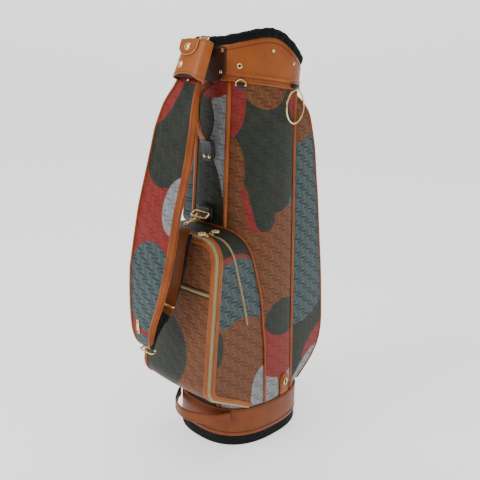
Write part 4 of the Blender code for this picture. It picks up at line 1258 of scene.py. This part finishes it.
def over_wall(spot):
    """Depth of a pocket's point, kept just outside the body behind it with a soft turn."""
    share = min(max((spot.z - BELT_TOP) / (WALL_TOP_Z - BELT_TOP), 0), 1)
    half_x = WALL_BASE[0] + share * (WALL_TOP[0] - WALL_BASE[0])
    half_y = WALL_BASE[1] + share * (WALL_TOP[1] - WALL_BASE[1])
    body = half_y * max(1 - abs(spot.x / half_x) ** OVAL, 0) ** (1 / OVAL) + 0.0030
    blend = 0.006
    return blend * math.log(math.exp(spot.y / blend) + math.exp(body / blend))


def orient_by(piece, inside):
    """Turns the faces so that they look away from a point inside the pocket."""
    face = piece.data.polygons[len(piece.data.polygons) // 2]
    if face.normal.dot(Vector(face.center) - inside) < 0:
        piece.data.flip_normals()


def make_side_pocket():
    low, high = Vector((-0.130, 0, 0.490)), Vector((-0.100, 0, 0.730))
    up = (high - low).normalized()
    out = Vector((-up.z, 0, up.x))
    front, rear, corner = -0.066, 0.045, 0.020
    bottom, top = 0.466, 0.752
    outline = []
    for hub_y, hub_z, start in ((rear - corner, top - corner, 0), (front + corner, top - corner, 90),
                                (front + corner, bottom + corner, 180), (rear - corner, bottom + corner, 270)):
        for k in range(9):
            a = math.radians(start + 90 * k / 8)
            outline.append(Vector((hub_y + corner * math.cos(a), hub_z + corner * math.sin(a), 0)))
    flat = resample(outline + [outline[0]], 150, closed=True)
    edge, out_face, out_side, spine, back = [], [], [], [], []
    for k, p in enumerate(flat):
        turn = (flat[(k + 1) % len(flat)] - flat[k - 1]).normalized()
        side = Vector((0, turn.y, -turn.x))
        x = low.x + (p.y - low.z) * (high.x - low.x) / (high.z - low.z)
        edge.append(Vector((x, p.x, p.y)))
        out_face.append(out.copy())
        out_side.append(side)
        z = min(max(p.y, bottom + 0.050), top - 0.050)
        spine.append(Vector((low.x + (z - low.z) * (high.x - low.x) / (high.z - low.z), -0.0105, z)))
        phi = -math.atan2(0.098, -p.x)
        back.append(wall(phi, p.y, 0.0006))
    piece, points, _ = pocket_sheet("side_pocket_canvas", edge, out_face, out_side, spine, back, 0.0035, 0.002,
                                    0.007, ("side_pocket",), closed=True, columns=(14, 6, 10))
    tidy_mesh(piece)
    orient_by(piece, Vector((-0.09, -0.01, 0.6)))
    where = points[:, [1, 2]]
    patches = [oval("green", (0.01, 0.640), (0.050, 0.060)), oval("red", (-0.050, 0.700), (0.035, 0.070)),
               oval("brown", (0.020, 0.520), (0.050, 0.045))]
    paint(piece, "teal", patches, where, where)
    thicken(piece, POCKET_CANVAS)
    tree = surface_of(piece)
    rim = [p - (f + g) * 0.0018 for p, f, g in zip(edge, out_face, out_side)]
    piping("side_pocket_piping", rim, 0.0024, closed=True)
    base = [b + g * 0.0010 for b, g in zip(back, out_side)]
    piping("side_pocket_base_piping", base, 0.0022, closed=True)
    path, normals = line_on(tree, (-0.2, 0.020, 0.728), (-0.2, 0.020, 0.500), 110, 0.0004)
    zip_run("side_zip", path, normals, tape=0.0100, chain=0.0040)


# ---- zip sliders --------------------------------------------------------------------------------------
def slider_piece(node, centre, along, outward):
    """Body of a zip slider: two wings, a bridge and a nose."""
    across = along.cross(outward)
    group = Group()
    plate = []
    for length, width, height in ((0.0050, 0.0034, -0.0018), (0.0054, 0.0039, -0.0010), (0.0054, 0.0039, 0.0004),
                                  (0.0046, 0.0032, 0.0012)):
        nose = [1.0 - 0.22 * max(0.0, -math.cos(TAU * k / 20)) for k in range(20)]
        plate.append([centre + along * (length * x) + across * (width * y * pinch) + outward * height
                      for (x, y), pinch in zip(squircle(20, 3), nose)])
    group.add(rings_mesh(plate))
    bridge = even_path([centre + along * a + outward * h for a, h in
                        ((-0.0040, 0.0008), (-0.0030, 0.0030), (0.0, 0.0037), (0.0030, 0.0030), (0.0040, 0.0008))], 14)
    group.add(rings_mesh(sweep(bridge, frames(bridge), circle(0.0008, 8))))
    return group.piece(node + "_detail", "gold", "gold", node, (node,))


def pull_piece(node, pivot, hang, outward, length, ornate=False):
    """Pull tab: a loop on the slider's bridge and a shaped plate with a slot."""
    side = hang.cross(outward).normalized()
    group = Group()
    ring = [pivot + hang * (0.0016 + 0.0024 * math.cos(a)) + side * (0.0020 * math.sin(a))
            for a in np.linspace(0, TAU, 16, endpoint=False)]
    group.add(tube(ring, 0.0006, closed=True, sides=8))
    outline, hole = [], []
    for k in range(36):
        a = TAU * k / 36
        c, s = math.cos(a), math.sin(a)
        reach = (abs(c) ** 2.6 + abs(s) ** 2.6) ** (-1 / 2.6)
        width = 0.0030 + 0.0010 * (c * reach + 1) / 2
        mid = 0.0040 + (length - 0.0060) / 2
        outline.append((mid + (length - 0.0060) / 2 * c * reach, width * s * reach))
        hole.append((mid + ((length - 0.0060) / 2 - 0.0026) * c * reach, (width - 0.0019) * s * reach))
    rings = []
    for shape, height in ((hole, -0.0004), (outline, -0.0004), (outline, 0.0005), (hole, 0.0005)):
        rings.append([pivot + hang * a + side * b + outward * (height + 0.0002) for a, b in shape])
    size = 36
    points = [p for r in rings for p in r]
    faces = []
    for k in range(4):
        for i in range(size):
            j = (i + 1) % size
            faces.append((k * size + i, k * size + j, ((k + 1) % 4) * size + j, ((k + 1) % 4) * size + i))
    group.add((points, faces))
    if ornate:
        centre = pivot + hang * (length * 0.5) + outward * 0.0018
        for reach, wire in ((0.0062, 0.0017), (0.0026, 0.0011)):
            loop = [centre + hang * (reach * math.cos(a)) + side * (reach * math.sin(a))
                    for a in np.linspace(0, TAU, 28, endpoint=False)]
            group.add(tube(loop, wire, closed=True, sides=8))
        for k in range(6):
            a = TAU * k / 6
            spot = centre + hang * (0.0062 * math.cos(a)) + side * (0.0062 * math.sin(a)) + outward * 0.0008
            group.add(lathe(spot, outward, [(0.0021, -0.0006), (0.0021, 0.0008), (0.0013, 0.0016), (0.0002, 0.0018)],
                            12))
    return group.piece(node + "_detail", "gold", "gold", node, (node,))


def middle_of(node):
    low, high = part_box(node)
    return (low + high) / 2


def make_sliders():
    pivots = {j["child"]: Vector(j["pos_m"]) for j in frame["joints"] if j.get("pos_m")}
    face_out = face_at(0.1)[1]
    down = face_out.cross(X_AXIS).normalized()
    if down.z > 0:
        down = -down
    garment_down = Vector((0, 0.0465, -0.370)).normalized()
    garment_out = Vector((0, -garment_down.z, garment_down.y))
    side_down = Vector((-0.030, 0, -0.240)).normalized()
    side_out = Vector((side_down.z, 0, -side_down.x))
    gusset_hang = Vector((0.9, 0.45, 0)).normalized()
    slider_piece("main_slider", middle_of("main_slider"), X_AXIS, UP)
    pull_piece("main_pull", pivots["main_pull"], -Y_AXIS, UP, 0.022, True)
    slider_piece("gusset_slider", middle_of("gusset_slider"), X_AXIS, UP)
    pull_piece("gusset_pull", pivots["gusset_pull"], gusset_hang, UP, 0.018, True)
    slider_piece("front_slider", middle_of("front_slider"), X_AXIS, face_out)
    pull_piece("front_pull", pivots["front_pull"], down, face_out, 0.024)
    slider_piece("garment_slider", middle_of("garment_slider"), garment_down, garment_out)
    pull_piece("garment_pull", pivots["garment_pull"], garment_down, garment_out, 0.024)
    slider_piece("side_slider", middle_of("side_slider"), side_down, side_out)
    pull_piece("side_pull", pivots["side_pull"], side_down, side_out, 0.022)


# ---- straps -----------------------------------------------------------------------------------------
def leather_strap(name, path, width, thickness, normals, material, slot, body, replaces=(), stitches=True,
                  backing=None):
    """Flat strap with rounded edges and a row of stitches along each side."""
    inset = 0.0030
    count = len(path)
    widths = width if isinstance(width, (list, tuple)) else [width] * count
    rings = []
    heads = tangents(path)
    for k, (point, normal) in enumerate(zip(path, normals)):
        across = heads[k].cross(normal).normalized()
        out = across.cross(heads[k])
        rings.append([point + across * a + out * b for a, b in slab(widths[k], thickness, 20)])
    points, faces = rings_mesh(rings)
    piece = add_mesh(name, points, faces, [material, backing or "edge", "edge"], body, replaces)
    tidy_mesh(piece)
    for face in piece.data.polygons:
        k = min(range(0, count, max(count // 24, 1)), key=lambda i: (path[i] - Vector(face.center)).length)
        lean = face.normal.dot(normals[k])
        if backing and lean < -0.5:
            face.material_index = 1
        elif abs(lean) < 0.42:
            face.material_index = 2
    if stitches:
        group = Group()
        for side in (1, -1):
            row, row_n = [], []
            for k, (point, normal) in enumerate(zip(path, normals)):
                across = heads[k].cross(normal).normalized()
                row.append(point + across * (side * (widths[k] / 2 - inset)) + normal * (thickness / 2 - 0.0001))
                row_n.append(normal)
            part = stitch_row(row, row_n)
            group.add((part.points, part.faces))
        group.piece(name + "_stitches", "thread", slot, body)
    return piece


PAD_STATIONS = ((0.800, -0.159, 0.000, 0.056, 0.010), (0.775, -0.171, 0.000, 0.064, 0.014),
                (0.745, -0.185, 0.000, 0.084, 0.018), (0.700, -0.198, 0.000, 0.101, 0.021),
                (0.640, -0.212, 0.000, 0.107, 0.022), (0.590, -0.226, 0.000, 0.108, 0.022),
                (0.540, -0.240, 0.000, 0.108, 0.022), (0.480, -0.252, 0.000, 0.108, 0.022),
                (0.420, -0.264, -0.001, 0.104, 0.022), (0.375, -0.268, -0.006, 0.090, 0.021),
                (0.330, -0.268, -0.015, 0.070, 0.020), (0.290, -0.267, -0.020, 0.054, 0.018),
                (0.268, -0.264, -0.020, 0.042, 0.014), (0.258, -0.261, -0.020, 0.024, 0.010))
PAD_PATCHES = [
    oval("green", (0.004, 0.690), (0.078, 0.100)),
    oval("red", (-0.046, 0.770), (0.042, 0.064), -14),
    oval("grey", (0.058, 0.560), (0.038, 0.056)),
    oval("teal", (0.006, 0.392), (0.070, 0.094)),
    oval("teal", (-0.016, 0.262), (0.040, 0.026)),
]


def pad_station(z):
    rows = PAD_STATIONS[::-1]
    heights = [row[0] for row in rows]
    return [float(np.interp(z, heights, [row[k] for row in rows])) for k in (1, 2, 3, 4)]


def puff(piece, pinned, pressure, cap):
    """Blows up a padded piece with Cloth while its seams are held, and keeps the result."""
    frames_run = 20
    group = piece.vertex_groups.new(name="seams")
    group.add([int(i) for i in pinned], 1.0, "REPLACE")
    start = np.zeros(len(piece.data.vertices) * 3, np.float32)
    piece.data.vertices.foreach_get("co", start)
    cloth = piece.modifiers.new("cloth", "CLOTH")
    cloth.settings.quality = 6
    cloth.settings.mass = 0.2
    cloth.settings.tension_stiffness = 25
    cloth.settings.compression_stiffness = 25
    cloth.settings.bending_stiffness = 2
    cloth.settings.use_pressure = True
    cloth.settings.uniform_pressure_force = pressure
    cloth.settings.vertex_group_mass = "seams"
    cloth.settings.effector_weights.gravity = 0
    cloth.collision_settings.use_collision = False
    cloth.point_cache.frame_start, cloth.point_cache.frame_end = 1, frames_run
    for number in range(1, frames_run + 1):
        bpy.context.scene.frame_set(number)
    shaped = piece.evaluated_get(bpy.context.evaluated_depsgraph_get())
    end = np.zeros_like(start)
    shaped.data.vertices.foreach_get("co", end)
    move = (end - start).reshape(-1, 3)
    size = np.linalg.norm(move, axis=1, keepdims=True) + 1e-9
    move *= np.minimum(1.0, cap / size)
    piece.modifiers.remove(cloth)
    piece.vertex_groups.remove(group)
    piece.data.vertices.foreach_set("co", (start.reshape(-1, 3) + move).ravel())
    piece.data.update()
    bpy.context.scene.frame_set(1)


def make_pad():
    top_to_low = even_path([Vector((x, y, z)) for z, y, x, *_ in PAD_STATIONS], 128)
    heads = tangents(top_to_low)
    face_n, side_n, back_n = 25, 5, 17
    points, kinds = [], []
    rims = {"front_left": [], "front_right": [], "back_left": [], "back_right": []}
    rim_normals = {key: [] for key in rims}
    for k, p in enumerate(top_to_low):
        y, x, width, thick = pad_station(p.z)
        ahead = heads[k]
        across = (Vector((1, 0, 0)) - ahead * ahead.x).normalized()
        out = across.cross(ahead)
        if out.y > 0:
            out = -out
        half, deep = width / 2, thick / 2
        row, marks = [], []
        for i in range(face_n):
            s = -1 + 2 * i / (face_n - 1)
            row.append(p + across * (half * s) + out * (deep - 0.0035 + 0.0035 * (1 - abs(s) ** 2.5)))
            marks.append(1 if i in (0, face_n - 1) else 0)
        for i in range(1, side_n):
            s = i / side_n
            row.append(p + across * (half + 0.0015 * math.sin(math.pi * s)) + out * ((deep - 0.0035) * (1 - 2 * s)))
            marks.append(2)
        for i in range(back_n):
            s = 1 - 2 * i / (back_n - 1)
            row.append(p + across * (half * s) - out * (deep - 0.0035 + 0.0025 * (1 - abs(s) ** 2.5)))
            marks.append(3 if i in (0, back_n - 1) else 4)
        for i in range(1, side_n):
            s = i / side_n
            row.append(p - across * (half + 0.0015 * math.sin(math.pi * s)) - out * ((deep - 0.0035) * (1 - 2 * s)))
            marks.append(2)
        points += row
        kinds += marks
        for key, sx, so in (("front_left", -1, 1), ("front_right", 1, 1), ("back_left", -1, -1),
                            ("back_right", 1, -1)):
            rims[key].append(p + across * (sx * half) + out * (so * (deep - 0.0030)))
            rim_normals[key].append((across * sx * 0.6 + out * so).normalized())
    size = len(points) // len(top_to_low)
    faces = grid_faces(len(top_to_low), size, close_columns=True)
    last = (len(top_to_low) - 1) * size
    faces += [tuple(range(size)), tuple(reversed(range(last, last + size)))]
    pad = add_mesh("strap_pad_cushion", points, faces, ["camo", "tan", "lining"], "strap",
                   ("strap_pad",))
    tidy_mesh(pad)
    side_columns = set(range(face_n, face_n + side_n - 1)) | set(range(face_n + side_n - 1 + back_n, size))
    for face in pad.data.polygons:
        columns = [v % size for v in face.vertices]
        if any(c in side_columns for c in columns):
            face.material_index = 1
        elif all(c >= face_n for c in columns):
            face.material_index = 2
    kinds = np.array(kinds)
    pinned = np.nonzero((kinds == 1) | (kinds == 3) | (kinds == 2))[0]
    puff(pad, pinned, 4.0, 0.006)
    where = np.array([tuple(v.co) for v in pad.data.vertices])
    spot = where[:, [0, 2]]
    paint(pad, "red", PAD_PATCHES, spot, spot)
    group = Group()
    for key, path in rims.items():
        group.add(tube(path[2:], 0.0026 if key.startswith("front") else 0.0022, sides=10))
    group.piece("strap_pad_piping", "tan_dark", "tan_leather", "strap")
    tree = surface_of(pad)
    out = Vector((0, -1, 0))
    plate = []
    centre = Vector((-0.024, -0.3, 0.300))
    for k in range(28):
        a = TAU * k / 28
        c, s = math.cos(a), math.sin(a)
        plate.append(centre + Vector((0.0045 * c, 0, 0.0130 * np.sign(s) * (abs(s) > 0.02) + 0.0045 * s)))
    spots, normals = lay_on(tree, plate, 0.0012, [out] * len(plate))
    rings = [[p + n * lift for p, n in zip(spots, normals)] for lift in (-0.0012, 0.0006)]
    mid = sum(spots, Vector()) / len(spots)
    rings.append([p.lerp(mid, 0.10) + n * 0.0011 for p, n in zip(spots, normals)])
    group = Group().add(rings_mesh(rings))
    for dz in (0.0115, -0.0115):
        spot_n, normal_n = lay_on(tree, [centre + Vector((0, 0, dz))], 0.0022, [out])
        group.add(lathe(spot_n[0], normal_n[0], [(0.0022, -0.0010), (0.0022, 0.0003), (0.0004, 0.0003)], 16), 1)
    group.piece("strap_pad_plate", ["gold", "dark_metal"], "gold", "strap")


def make_sleeve():
    low, high = Vector((0, -0.1655, 0.7952)), Vector((0, -0.1365, 0.8650))
    ahead = (high - low).normalized()
    normal = ahead.cross(X_AXIS)
    face_dir = -normal
    sides = 72

    def ring(share, grow_x, grow_y, arch=0.0085):
        """Section of the sleeve; its lower edge arches up in front."""
        centre = low.lerp(high, share)
        half_w, half_t = 0.0375 - 0.004 * share + grow_x, 0.0150 - 0.0008 * share + grow_y
        points = []
        for x, y in squircle(sides, 3.6):
            dip = (0.0030 - arch * max(-y, 0) * (1 - abs(x) ** 2.2)) * (1 - share) ** 6
            points.append(centre + X_AXIS * (x * half_w) + normal * (y * half_t) - ahead * dip)
        return points
    shares = list(np.linspace(0, 1, 26))
    rings = [ring(0, -0.0018, -0.0018), ring(0, -0.0007, -0.0007)] + [ring(s, 0, 0) for s in shares]
    # The inner rings keep a straight lower edge, so a dark band of the inner wall shows below the front's arch: painted
    # shade in the sleeve's mouth.
    rings += [ring(1, -0.0010, -0.0010)] + [ring(s, -0.0020, -0.0020, 0.0) for s in shares[::-1]]
    count, rows = len(rings), len(shares)
    piece = add_mesh("strap_sleeve_leather", [p for r in rings for p in r], grid_faces(count, sides, True, True),
                     ["tan_sleeve", "edge", "cut_edge"], "strap", ("strap_sleeve",))
    tidy_mesh(piece)
    for face in piece.data.polygons:
        touched = {v // sides for v in face.vertices}
        row = min(touched)
        # The inner wall and the strip closing it to the arched rim take the dark edge paint: painted shade inside the
        # sleeve's mouth.
        if row > rows + 1 or (0 in touched and count - 1 in touched):
            face.material_index = 1
        elif row in (0, 1, rows + 1):
            face.material_index = 2
    for name, spot, radius in (
            ("sleeve_lower_snap", low.lerp(high, 0.30) + face_dir * 0.0144 + X_AXIS * -0.0175, 0.0068),
            ("pad_stud", low - ahead * 0.004 + face_dir * 0.0065 + X_AXIS * 0.008, 0.0030)):
        group = Group()
        rivet(group, spot, face_dir, radius)
        group.piece(name, "gold", "gold", "strap")
    stitches = Group()
    for share in (0.955, 0.06):
        line = ring(share, 0.0002, 0.0002)
        line.append(line[0].copy())
        hub = low.lerp(high, share)
        part = stitch_row(line, [(p - hub).normalized() for p in line])
        stitches.add((part.points, part.faces))
    stitches.piece("strap_sleeve_stitches", "thread", "tan_leather", "strap")

    hinge = high - ahead * 0.003 + face_dir * 0.0168 - X_AXIS * 0.0085
    half, drop_z = 0.0242, 0.0310
    outline = [(-half, 0.0), (-half, drop_z - 0.017)]
    outline += [(-half * math.cos(a), drop_z - 0.017 + 0.017 * math.sin(a))
                for a in np.linspace(0.1, math.pi - 0.1, 18)]
    outline += [(half, drop_z - 0.017), (half, 0.0)]
    rings = []
    for shrink, lift in ((0.0, -0.0012), (0.0, 0.0006), (0.04, 0.0012)):
        rings.append([hinge + X_AXIS * (x * (1 - shrink)) - ahead * (0.008 + (d - 0.008) * (1 - shrink))
                      + face_dir * lift for x, d in outline])
    flap = Group().add(rings_mesh(rings))
    rim = [hinge + X_AXIS * x - ahead * d - face_dir * 0.0002 for x, d in outline]
    flap.add(tube(resample(rim, 60), 0.0012, sides=8), 1)
    flap.piece("sleeve_flap_leather", ["tan_sleeve", "cut_edge"], "tan_leather", "sleeve_flap", ("sleeve_flap",),
               smooth=False)
    row = resample([hinge + X_AXIS * (x * 0.87) - ahead * (0.0095 + (d - 0.0095) * 0.87) + face_dir * 0.0012
                    for x, d in outline], 60)
    stitch_row(row, [face_dir] * len(row)).piece("sleeve_flap_stitches", "thread", "tan_leather", "sleeve_flap")
    group = Group()
    rivet(group, hinge - ahead * 0.0150 + face_dir * 0.0010, face_dir, 0.0078)
    group.piece("sleeve_flap_snap", "gold", "gold", "sleeve_flap")


def loop_path(centre, side, up, width, height, corner, count=60):
    points = []
    for quarter, (sx, sy) in enumerate(((1, 1), (-1, 1), (-1, -1), (1, -1))):
        for i in range(7):
            a = math.pi / 2 * (quarter + i / 6)
            points.append(centre + side * (sx * (width / 2 - corner) + corner * math.cos(a))
                          + up * (sy * (height / 2 - corner) + corner * math.sin(a)))
    return resample(points + [points[0]], count, closed=True)


def gold_loop(name, node, body, centre, side, up, width, height, corner, radius):
    path = loop_path(centre, side, up.normalized(), width, height, corner)
    return Group().add(tube(path, radius, closed=True, sides=12)).piece(name, "gold", "gold", body, (node,))


PIVOT_HIGH, PIVOT_LOW = Vector((0, -0.1325, 0.8640)), Vector((0, -0.1382, 0.5150))
CLIP_ANGLE, TOWEL_ANGLE = math.radians(37), math.radians(110.5)
TAB_Z, TAB_OFFSET = 0.7815, 0.0036      # where both ring tabs leave the collar's lower edge


def make_hardware():
    bar = Vector((0, -0.1228, 0.8712))
    reach = PIVOT_HIGH - bar
    gold_loop("upper_ring_wire", "upper_ring", "bag", (bar + PIVOT_HIGH) / 2, X_AXIS, reach, 0.026, reach.length, 0.004,
              0.0018)
    panel_y = front_y(0.522)
    bar = Vector((0, panel_y - 0.0112, 0.5240))
    reach = PIVOT_LOW - bar
    gold_loop("lower_ring_wire", "lower_ring", "bag", (bar + PIVOT_LOW) / 2, X_AXIS, reach, 0.044, reach.length, 0.004,
              0.0020)
    for name, node, pivot, start, stop, shank, radius in (
            ("upper_hook_wire", "upper_hook", PIVOT_HIGH, 190, -50,
             ((0, -0.1575, 0.8060), (0, -0.1480, 0.8330), (0, -0.1405, 0.8560)), 0.0018),
            ("lower_hook_wire", "lower_hook", PIVOT_LOW, 200, -60,
             ((0, -0.1735, 0.5035), (0, -0.1600, 0.5085), (0, -0.1500, 0.5105)), 0.0020)):
        curl = [pivot + Vector((0, 0.0063 * math.cos(a), 0.0063 * math.sin(a)))
                for a in np.radians(np.linspace(start, stop, 12))]
        path = even_path([Vector(p) for p in shank] + curl, 60)
        group = Group().add(tube(path, radius, sides=12))
        ahead = (Vector(shank[1]) - Vector(shank[0])).normalized()
        base = Vector(shank[0]).lerp(Vector(shank[1]), 0.05)
        group.add(lathe(base, ahead, [(0.0020, 0), (0.0040, 0.0010), (0.0043, 0.0030), (0.0034, 0.0042),
                                      (0.0034, 0.0062), (0.0043, 0.0074), (0.0040, 0.0092), (0.0022, 0.0104)], 20))
        group.piece(name, "gold", "gold", "strap", (node,))
    tip = PIVOT_LOW + Vector((0, 0.0063 * math.cos(math.radians(-60)), 0.0063 * math.sin(math.radians(-60))))
    path = even_path([Vector((0, -0.1520, 0.5062)), Vector((0, (-0.1520 + tip.y - 0.0042) / 2, 0.5064)),
                      Vector((0, tip.y - 0.0042, 0.5075))], 14)
    Group().add(tube(path, 0.0013)).piece("lower_gate_wire", "gold", "gold", "lower_gate", ("lower_gate",))
    along = (Vector((0, -0.2075, 0.380)) - Vector((0, -0.222, 0.342))).normalized()
    gold_loop("adjuster_wire", "adjuster_ring", "strap", Vector((0, -0.2215, 0.3435)), X_AXIS, along.cross(X_AXIS),
              0.050, 0.0120, 0.004, 0.0020)
    gold_loop("tail_buckle_wire", "tail_buckle", "strap", Vector((-0.018, -0.2560, 0.2450)), X_AXIS,
              Vector((0, 1, 0)), 0.040, 0.016, 0.004, 0.0018)
    low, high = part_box("towel_ring")
    centre = (low + high) / 2
    hang = Vector((-0.165, 0.986, 0)).normalized()
    path = [centre + hang * (0.034 * math.cos(a)) + UP * (0.034 * math.sin(a))
            for a in np.linspace(0, TAU, 90, endpoint=False)]
    Group().add(tube(path, 0.0019, closed=True, sides=12)).piece("towel_ring_wire", "gold", "gold", "towel_ring",
                                                                 ("towel_ring",))
    point, normal, side = wall_frame(CLIP_ANGLE, TAB_Z, TAB_OFFSET)
    bar = point + normal * 0.0026 + UP * 0.0025
    path = [bar + side * (0.0105 * math.cos(a)) + UP * (0.0115 * math.sin(a)) for a in np.linspace(0, math.pi, 30)]
    path += [bar + side * x for x in np.linspace(-0.0105, 0.0105, 12)[1:-1]]
    Group().add(tube(path, 0.0012, closed=True, sides=10)).piece("clip_ring_wire", "gold", "gold", "clip_ring",
                                                                 ("clip_ring",))


def soft_block(name, centre, axes, size, material, slot, body, replaces, power=5.0):
    """Folded leather tab: a rounded, slightly swollen block."""
    length, depth, height = axes
    rings = []
    for v in np.linspace(-1, 1, 13):
        edge = (1 - abs(v) ** power) ** (1 / power) if abs(v) < 1 else 0.0
        edge = max(edge, 0.12)
        rings.append([centre + length * (size[0] / 2 * x * edge) + depth * (size[1] / 2 * y * edge)
                      + height * (size[2] / 2 * v) for x, y in squircle(28, power)])
    return Group().add(rings_mesh(rings)).piece(name, material, slot, body, replaces)


def make_tabs():
    face_y = -WALL_TOP[1] - 0.0033 - 0.0020 - 0.0006
    path = even_path([Vector((0, face_y - 0.0020, 0.8370)), Vector((0, face_y - 0.0027, 0.8490)),
                      Vector((0, face_y - 0.0065, 0.8605)), Vector((0, -0.1212, 0.8690))], 30)
    heads = tangents(path)
    leather_strap("upper_ring_tab_leather", path, 0.014, 0.0030, [h.cross(X_AXIS) * -1 for h in heads], "brown",
                  "dark_leather", "bag", ("upper_ring_tab",), stitches=False)
    panel_y = front_y(0.522)
    soft_block("lower_ring_tab_leather", Vector((0, panel_y - 0.0048, 0.522)), (X_AXIS, Y_AXIS, UP),
               (0.046, 0.0080, 0.034), "black", "black_leather", "bag", ("lower_ring_tab",), 7.0)
    row = [Vector((x, panel_y - 0.0088, z)) for x, z in
           ((-0.0200, 0.5365), (0.0200, 0.5365), (0.0200, 0.5075), (-0.0200, 0.5075), (-0.0200, 0.5365))]
    row = resample(row, 120)
    stitch_row(row, [-Y_AXIS] * len(row)).piece("lower_ring_tab_stitches", "webbing", "black_leather", "bag")
    point, normal, side = wall_frame(TOWEL_ANGLE, TAB_Z, TAB_OFFSET)
    soft_block("towel_tab_leather", point + normal * 0.0062, (side, normal, UP), (0.016, 0.0118, 0.009), "slate",
               "black_leather", "bag", ("towel_tab",))
    point, normal, side = wall_frame(CLIP_ANGLE, TAB_Z, TAB_OFFSET)
    soft_block("clip_tab_leather", point + normal * 0.0026 + UP * 0.0005, (side, normal, UP), (0.015, 0.0040, 0.0085),
               "slate", "black_leather", "bag", ("clip_tab",))
    middle, half = math.radians(106), 0.0145
    reach = half / 0.112

    def top(phi):
        lateral = min(abs(phi - middle) * 0.112 / half, 1)
        return 0.126 + 0.016 * math.sqrt(1 - lateral ** 2)
    wall_patch("badge_tab_leather", (middle - reach, middle + reach), lambda phi: BELT_TOP + 0.0006, top,
               0.0006, 0.0022, "tan", "tan_leather", ("badge_tab",))
    line = [wall(middle + reach * 0.78 * math.cos(a), 0.1235 + 0.0140 * math.sin(a), 0.0030)
            for a in np.linspace(0, math.pi, 30)]
    line = ([wall(middle + reach * 0.78, z, 0.0030) for z in np.linspace(0.096, 0.123, 14)] + line
            + [wall(middle - reach * 0.78, z, 0.0030) for z in np.linspace(0.123, 0.096, 14)])
    stitches = stitch_row(line, [wall_normal(middle, 0.11)] * len(line))
    stitches.piece("badge_tab_stitches", "thread", "tan_leather", "bag")
    point, normal, side = wall_frame(middle, 0.122, 0.0044)
    path = loop_path(point, side, UP, 0.0105, 0.0145, 0.0050, 48)
    group = Group().add(tube(path, 0.0014, closed=True, sides=10))
    disc = [p - normal * 0.0012 for p in path]
    group.add(rings_mesh([disc, [p + normal * 0.0012 for p in disc]]), 1)
    group.piece("badge_ring_detail", ["gold", "dark_metal"], "gold", "bag", ("badge_ring",))


def facing_front(path):
    """Normals of a strap that runs up the bag's middle, turned to the front."""
    normals = [head.cross(X_AXIS) for head in tangents(path)]
    return [n if n.y < 0 else -n for n in normals]


def make_handles():
    path = even_path([Vector(p) for p in ((0, -0.1070, 0.7805), (0, -0.1240, 0.7715), (0, -0.138, 0.750),
                                          (0, -0.1395, 0.722), (0, -0.130, 0.694), (0, -0.1185, 0.6745))], 70)
    normals = [h.cross(X_AXIS) * -1 for h in tangents(path)]
    normals = [n if n.y < 0.2 else -n for n in normals]
    path = [p - X_AXIS * 0.0065 for p in path]
    leather_strap("carry_handle_leather", path, 0.0190, 0.0052, normals, "tan", "tan_leather", "bag",
                  ("carry_handle",), backing="tan_dark")
    panel_y = front_y(0.652)
    path = even_path([Vector((0, panel_y - 0.0030, 0.6300)), Vector((0, panel_y - 0.0035, 0.650)),
                      Vector((0, panel_y - 0.0055, 0.664)), Vector((0, panel_y - 0.0080, 0.6725))], 40)
    widths = [0.030 + 0.010 * min(k / 12, 1) - 0.008 * max(0, (k - 28) / 12) for k in range(40)]
    leather_strap("handle_chape_leather", path, widths, 0.0052, facing_front(path), "slate", "black_leather", "bag",
                  ("handle_chape",))
    group = Group()
    for x in (-0.007, 0.007):
        rivet(group, Vector((x, panel_y - 0.0060, 0.6395)), Vector((0, -1, 0)), 0.0040)
    group.piece("handle_chape_rivets", "gold", "gold", "bag")

    path = even_path([Vector(p) for p in (
        (0.084, -0.1115, 0.074), (0.060, -0.141, 0.070), (0.000, -0.164, 0.064), (-0.050, -0.153, 0.064),
        (-0.078, -0.124, 0.068), (-0.0865, -0.109, 0.070))], 120)
    normals = [head.cross(UP).normalized() for head in tangents(path)]
    normals = [n if n.dot(Vector((p.x, p.y, 0))) > 0 else -n for n, p in zip(normals, path)]
    # The base handle takes the darker copy of the tan leather: painted shade of the bag's lower part.
    leather_strap("base_handle_leather", path, 0.0240, 0.0030, normals, "tan_base", "tan_leather", "bag",
                  ("base_handle",), backing="black")

    path = even_path([Vector(p) for p in (
        (-0.018, -0.2535, 0.2500), (-0.012, -0.2480, 0.2800), (-0.004, -0.2370, 0.3100), (0.000, -0.2220, 0.3420),
        (0.000, -0.2075, 0.3800), (0.002, -0.1985, 0.4250), (0.002, -0.1915, 0.4650), (0.002, -0.1850, 0.4880),
        (0.000, -0.1775, 0.4985))], 120)
    normals = facing_front(path)
    front = [p + n * 0.0009 + X_AXIS * (0.004 * min(k / 40, 1)) for k, (p, n) in enumerate(zip(path, normals))]
    leather_strap("strap_belt_leather", front[38:], [0.038] * 82, 0.0020, normals[38:], "tan", "tan_leather", "strap",
                  ("strap_belt",))
    leather_strap("strap_tail_webbing", front[:42], 0.0290, 0.0018, normals[:42], "webbing", "black_leather", "strap",
                  stitches=False, backing="webbing")
    back = [p - n * 0.0012 + X_AXIS * (0.002 + 0.016 * (k / 119) ** 1.3)
            for k, (p, n) in enumerate(zip(path, normals))]
    leather_strap("strap_belt_webbing", back[30:-4], 0.0300, 0.0016, normals[30:-4], "webbing", "black_leather",
                  "strap", stitches=False, backing="webbing")


stage_scene()
make_walls()
make_base()
make_collar()
make_studs()
make_yoke()
make_inside()
make_ball_pocket()
make_garment_pocket()
make_side_pocket()
make_sliders()
make_pad()
make_sleeve()
make_hardware()
make_tabs()
make_handles()
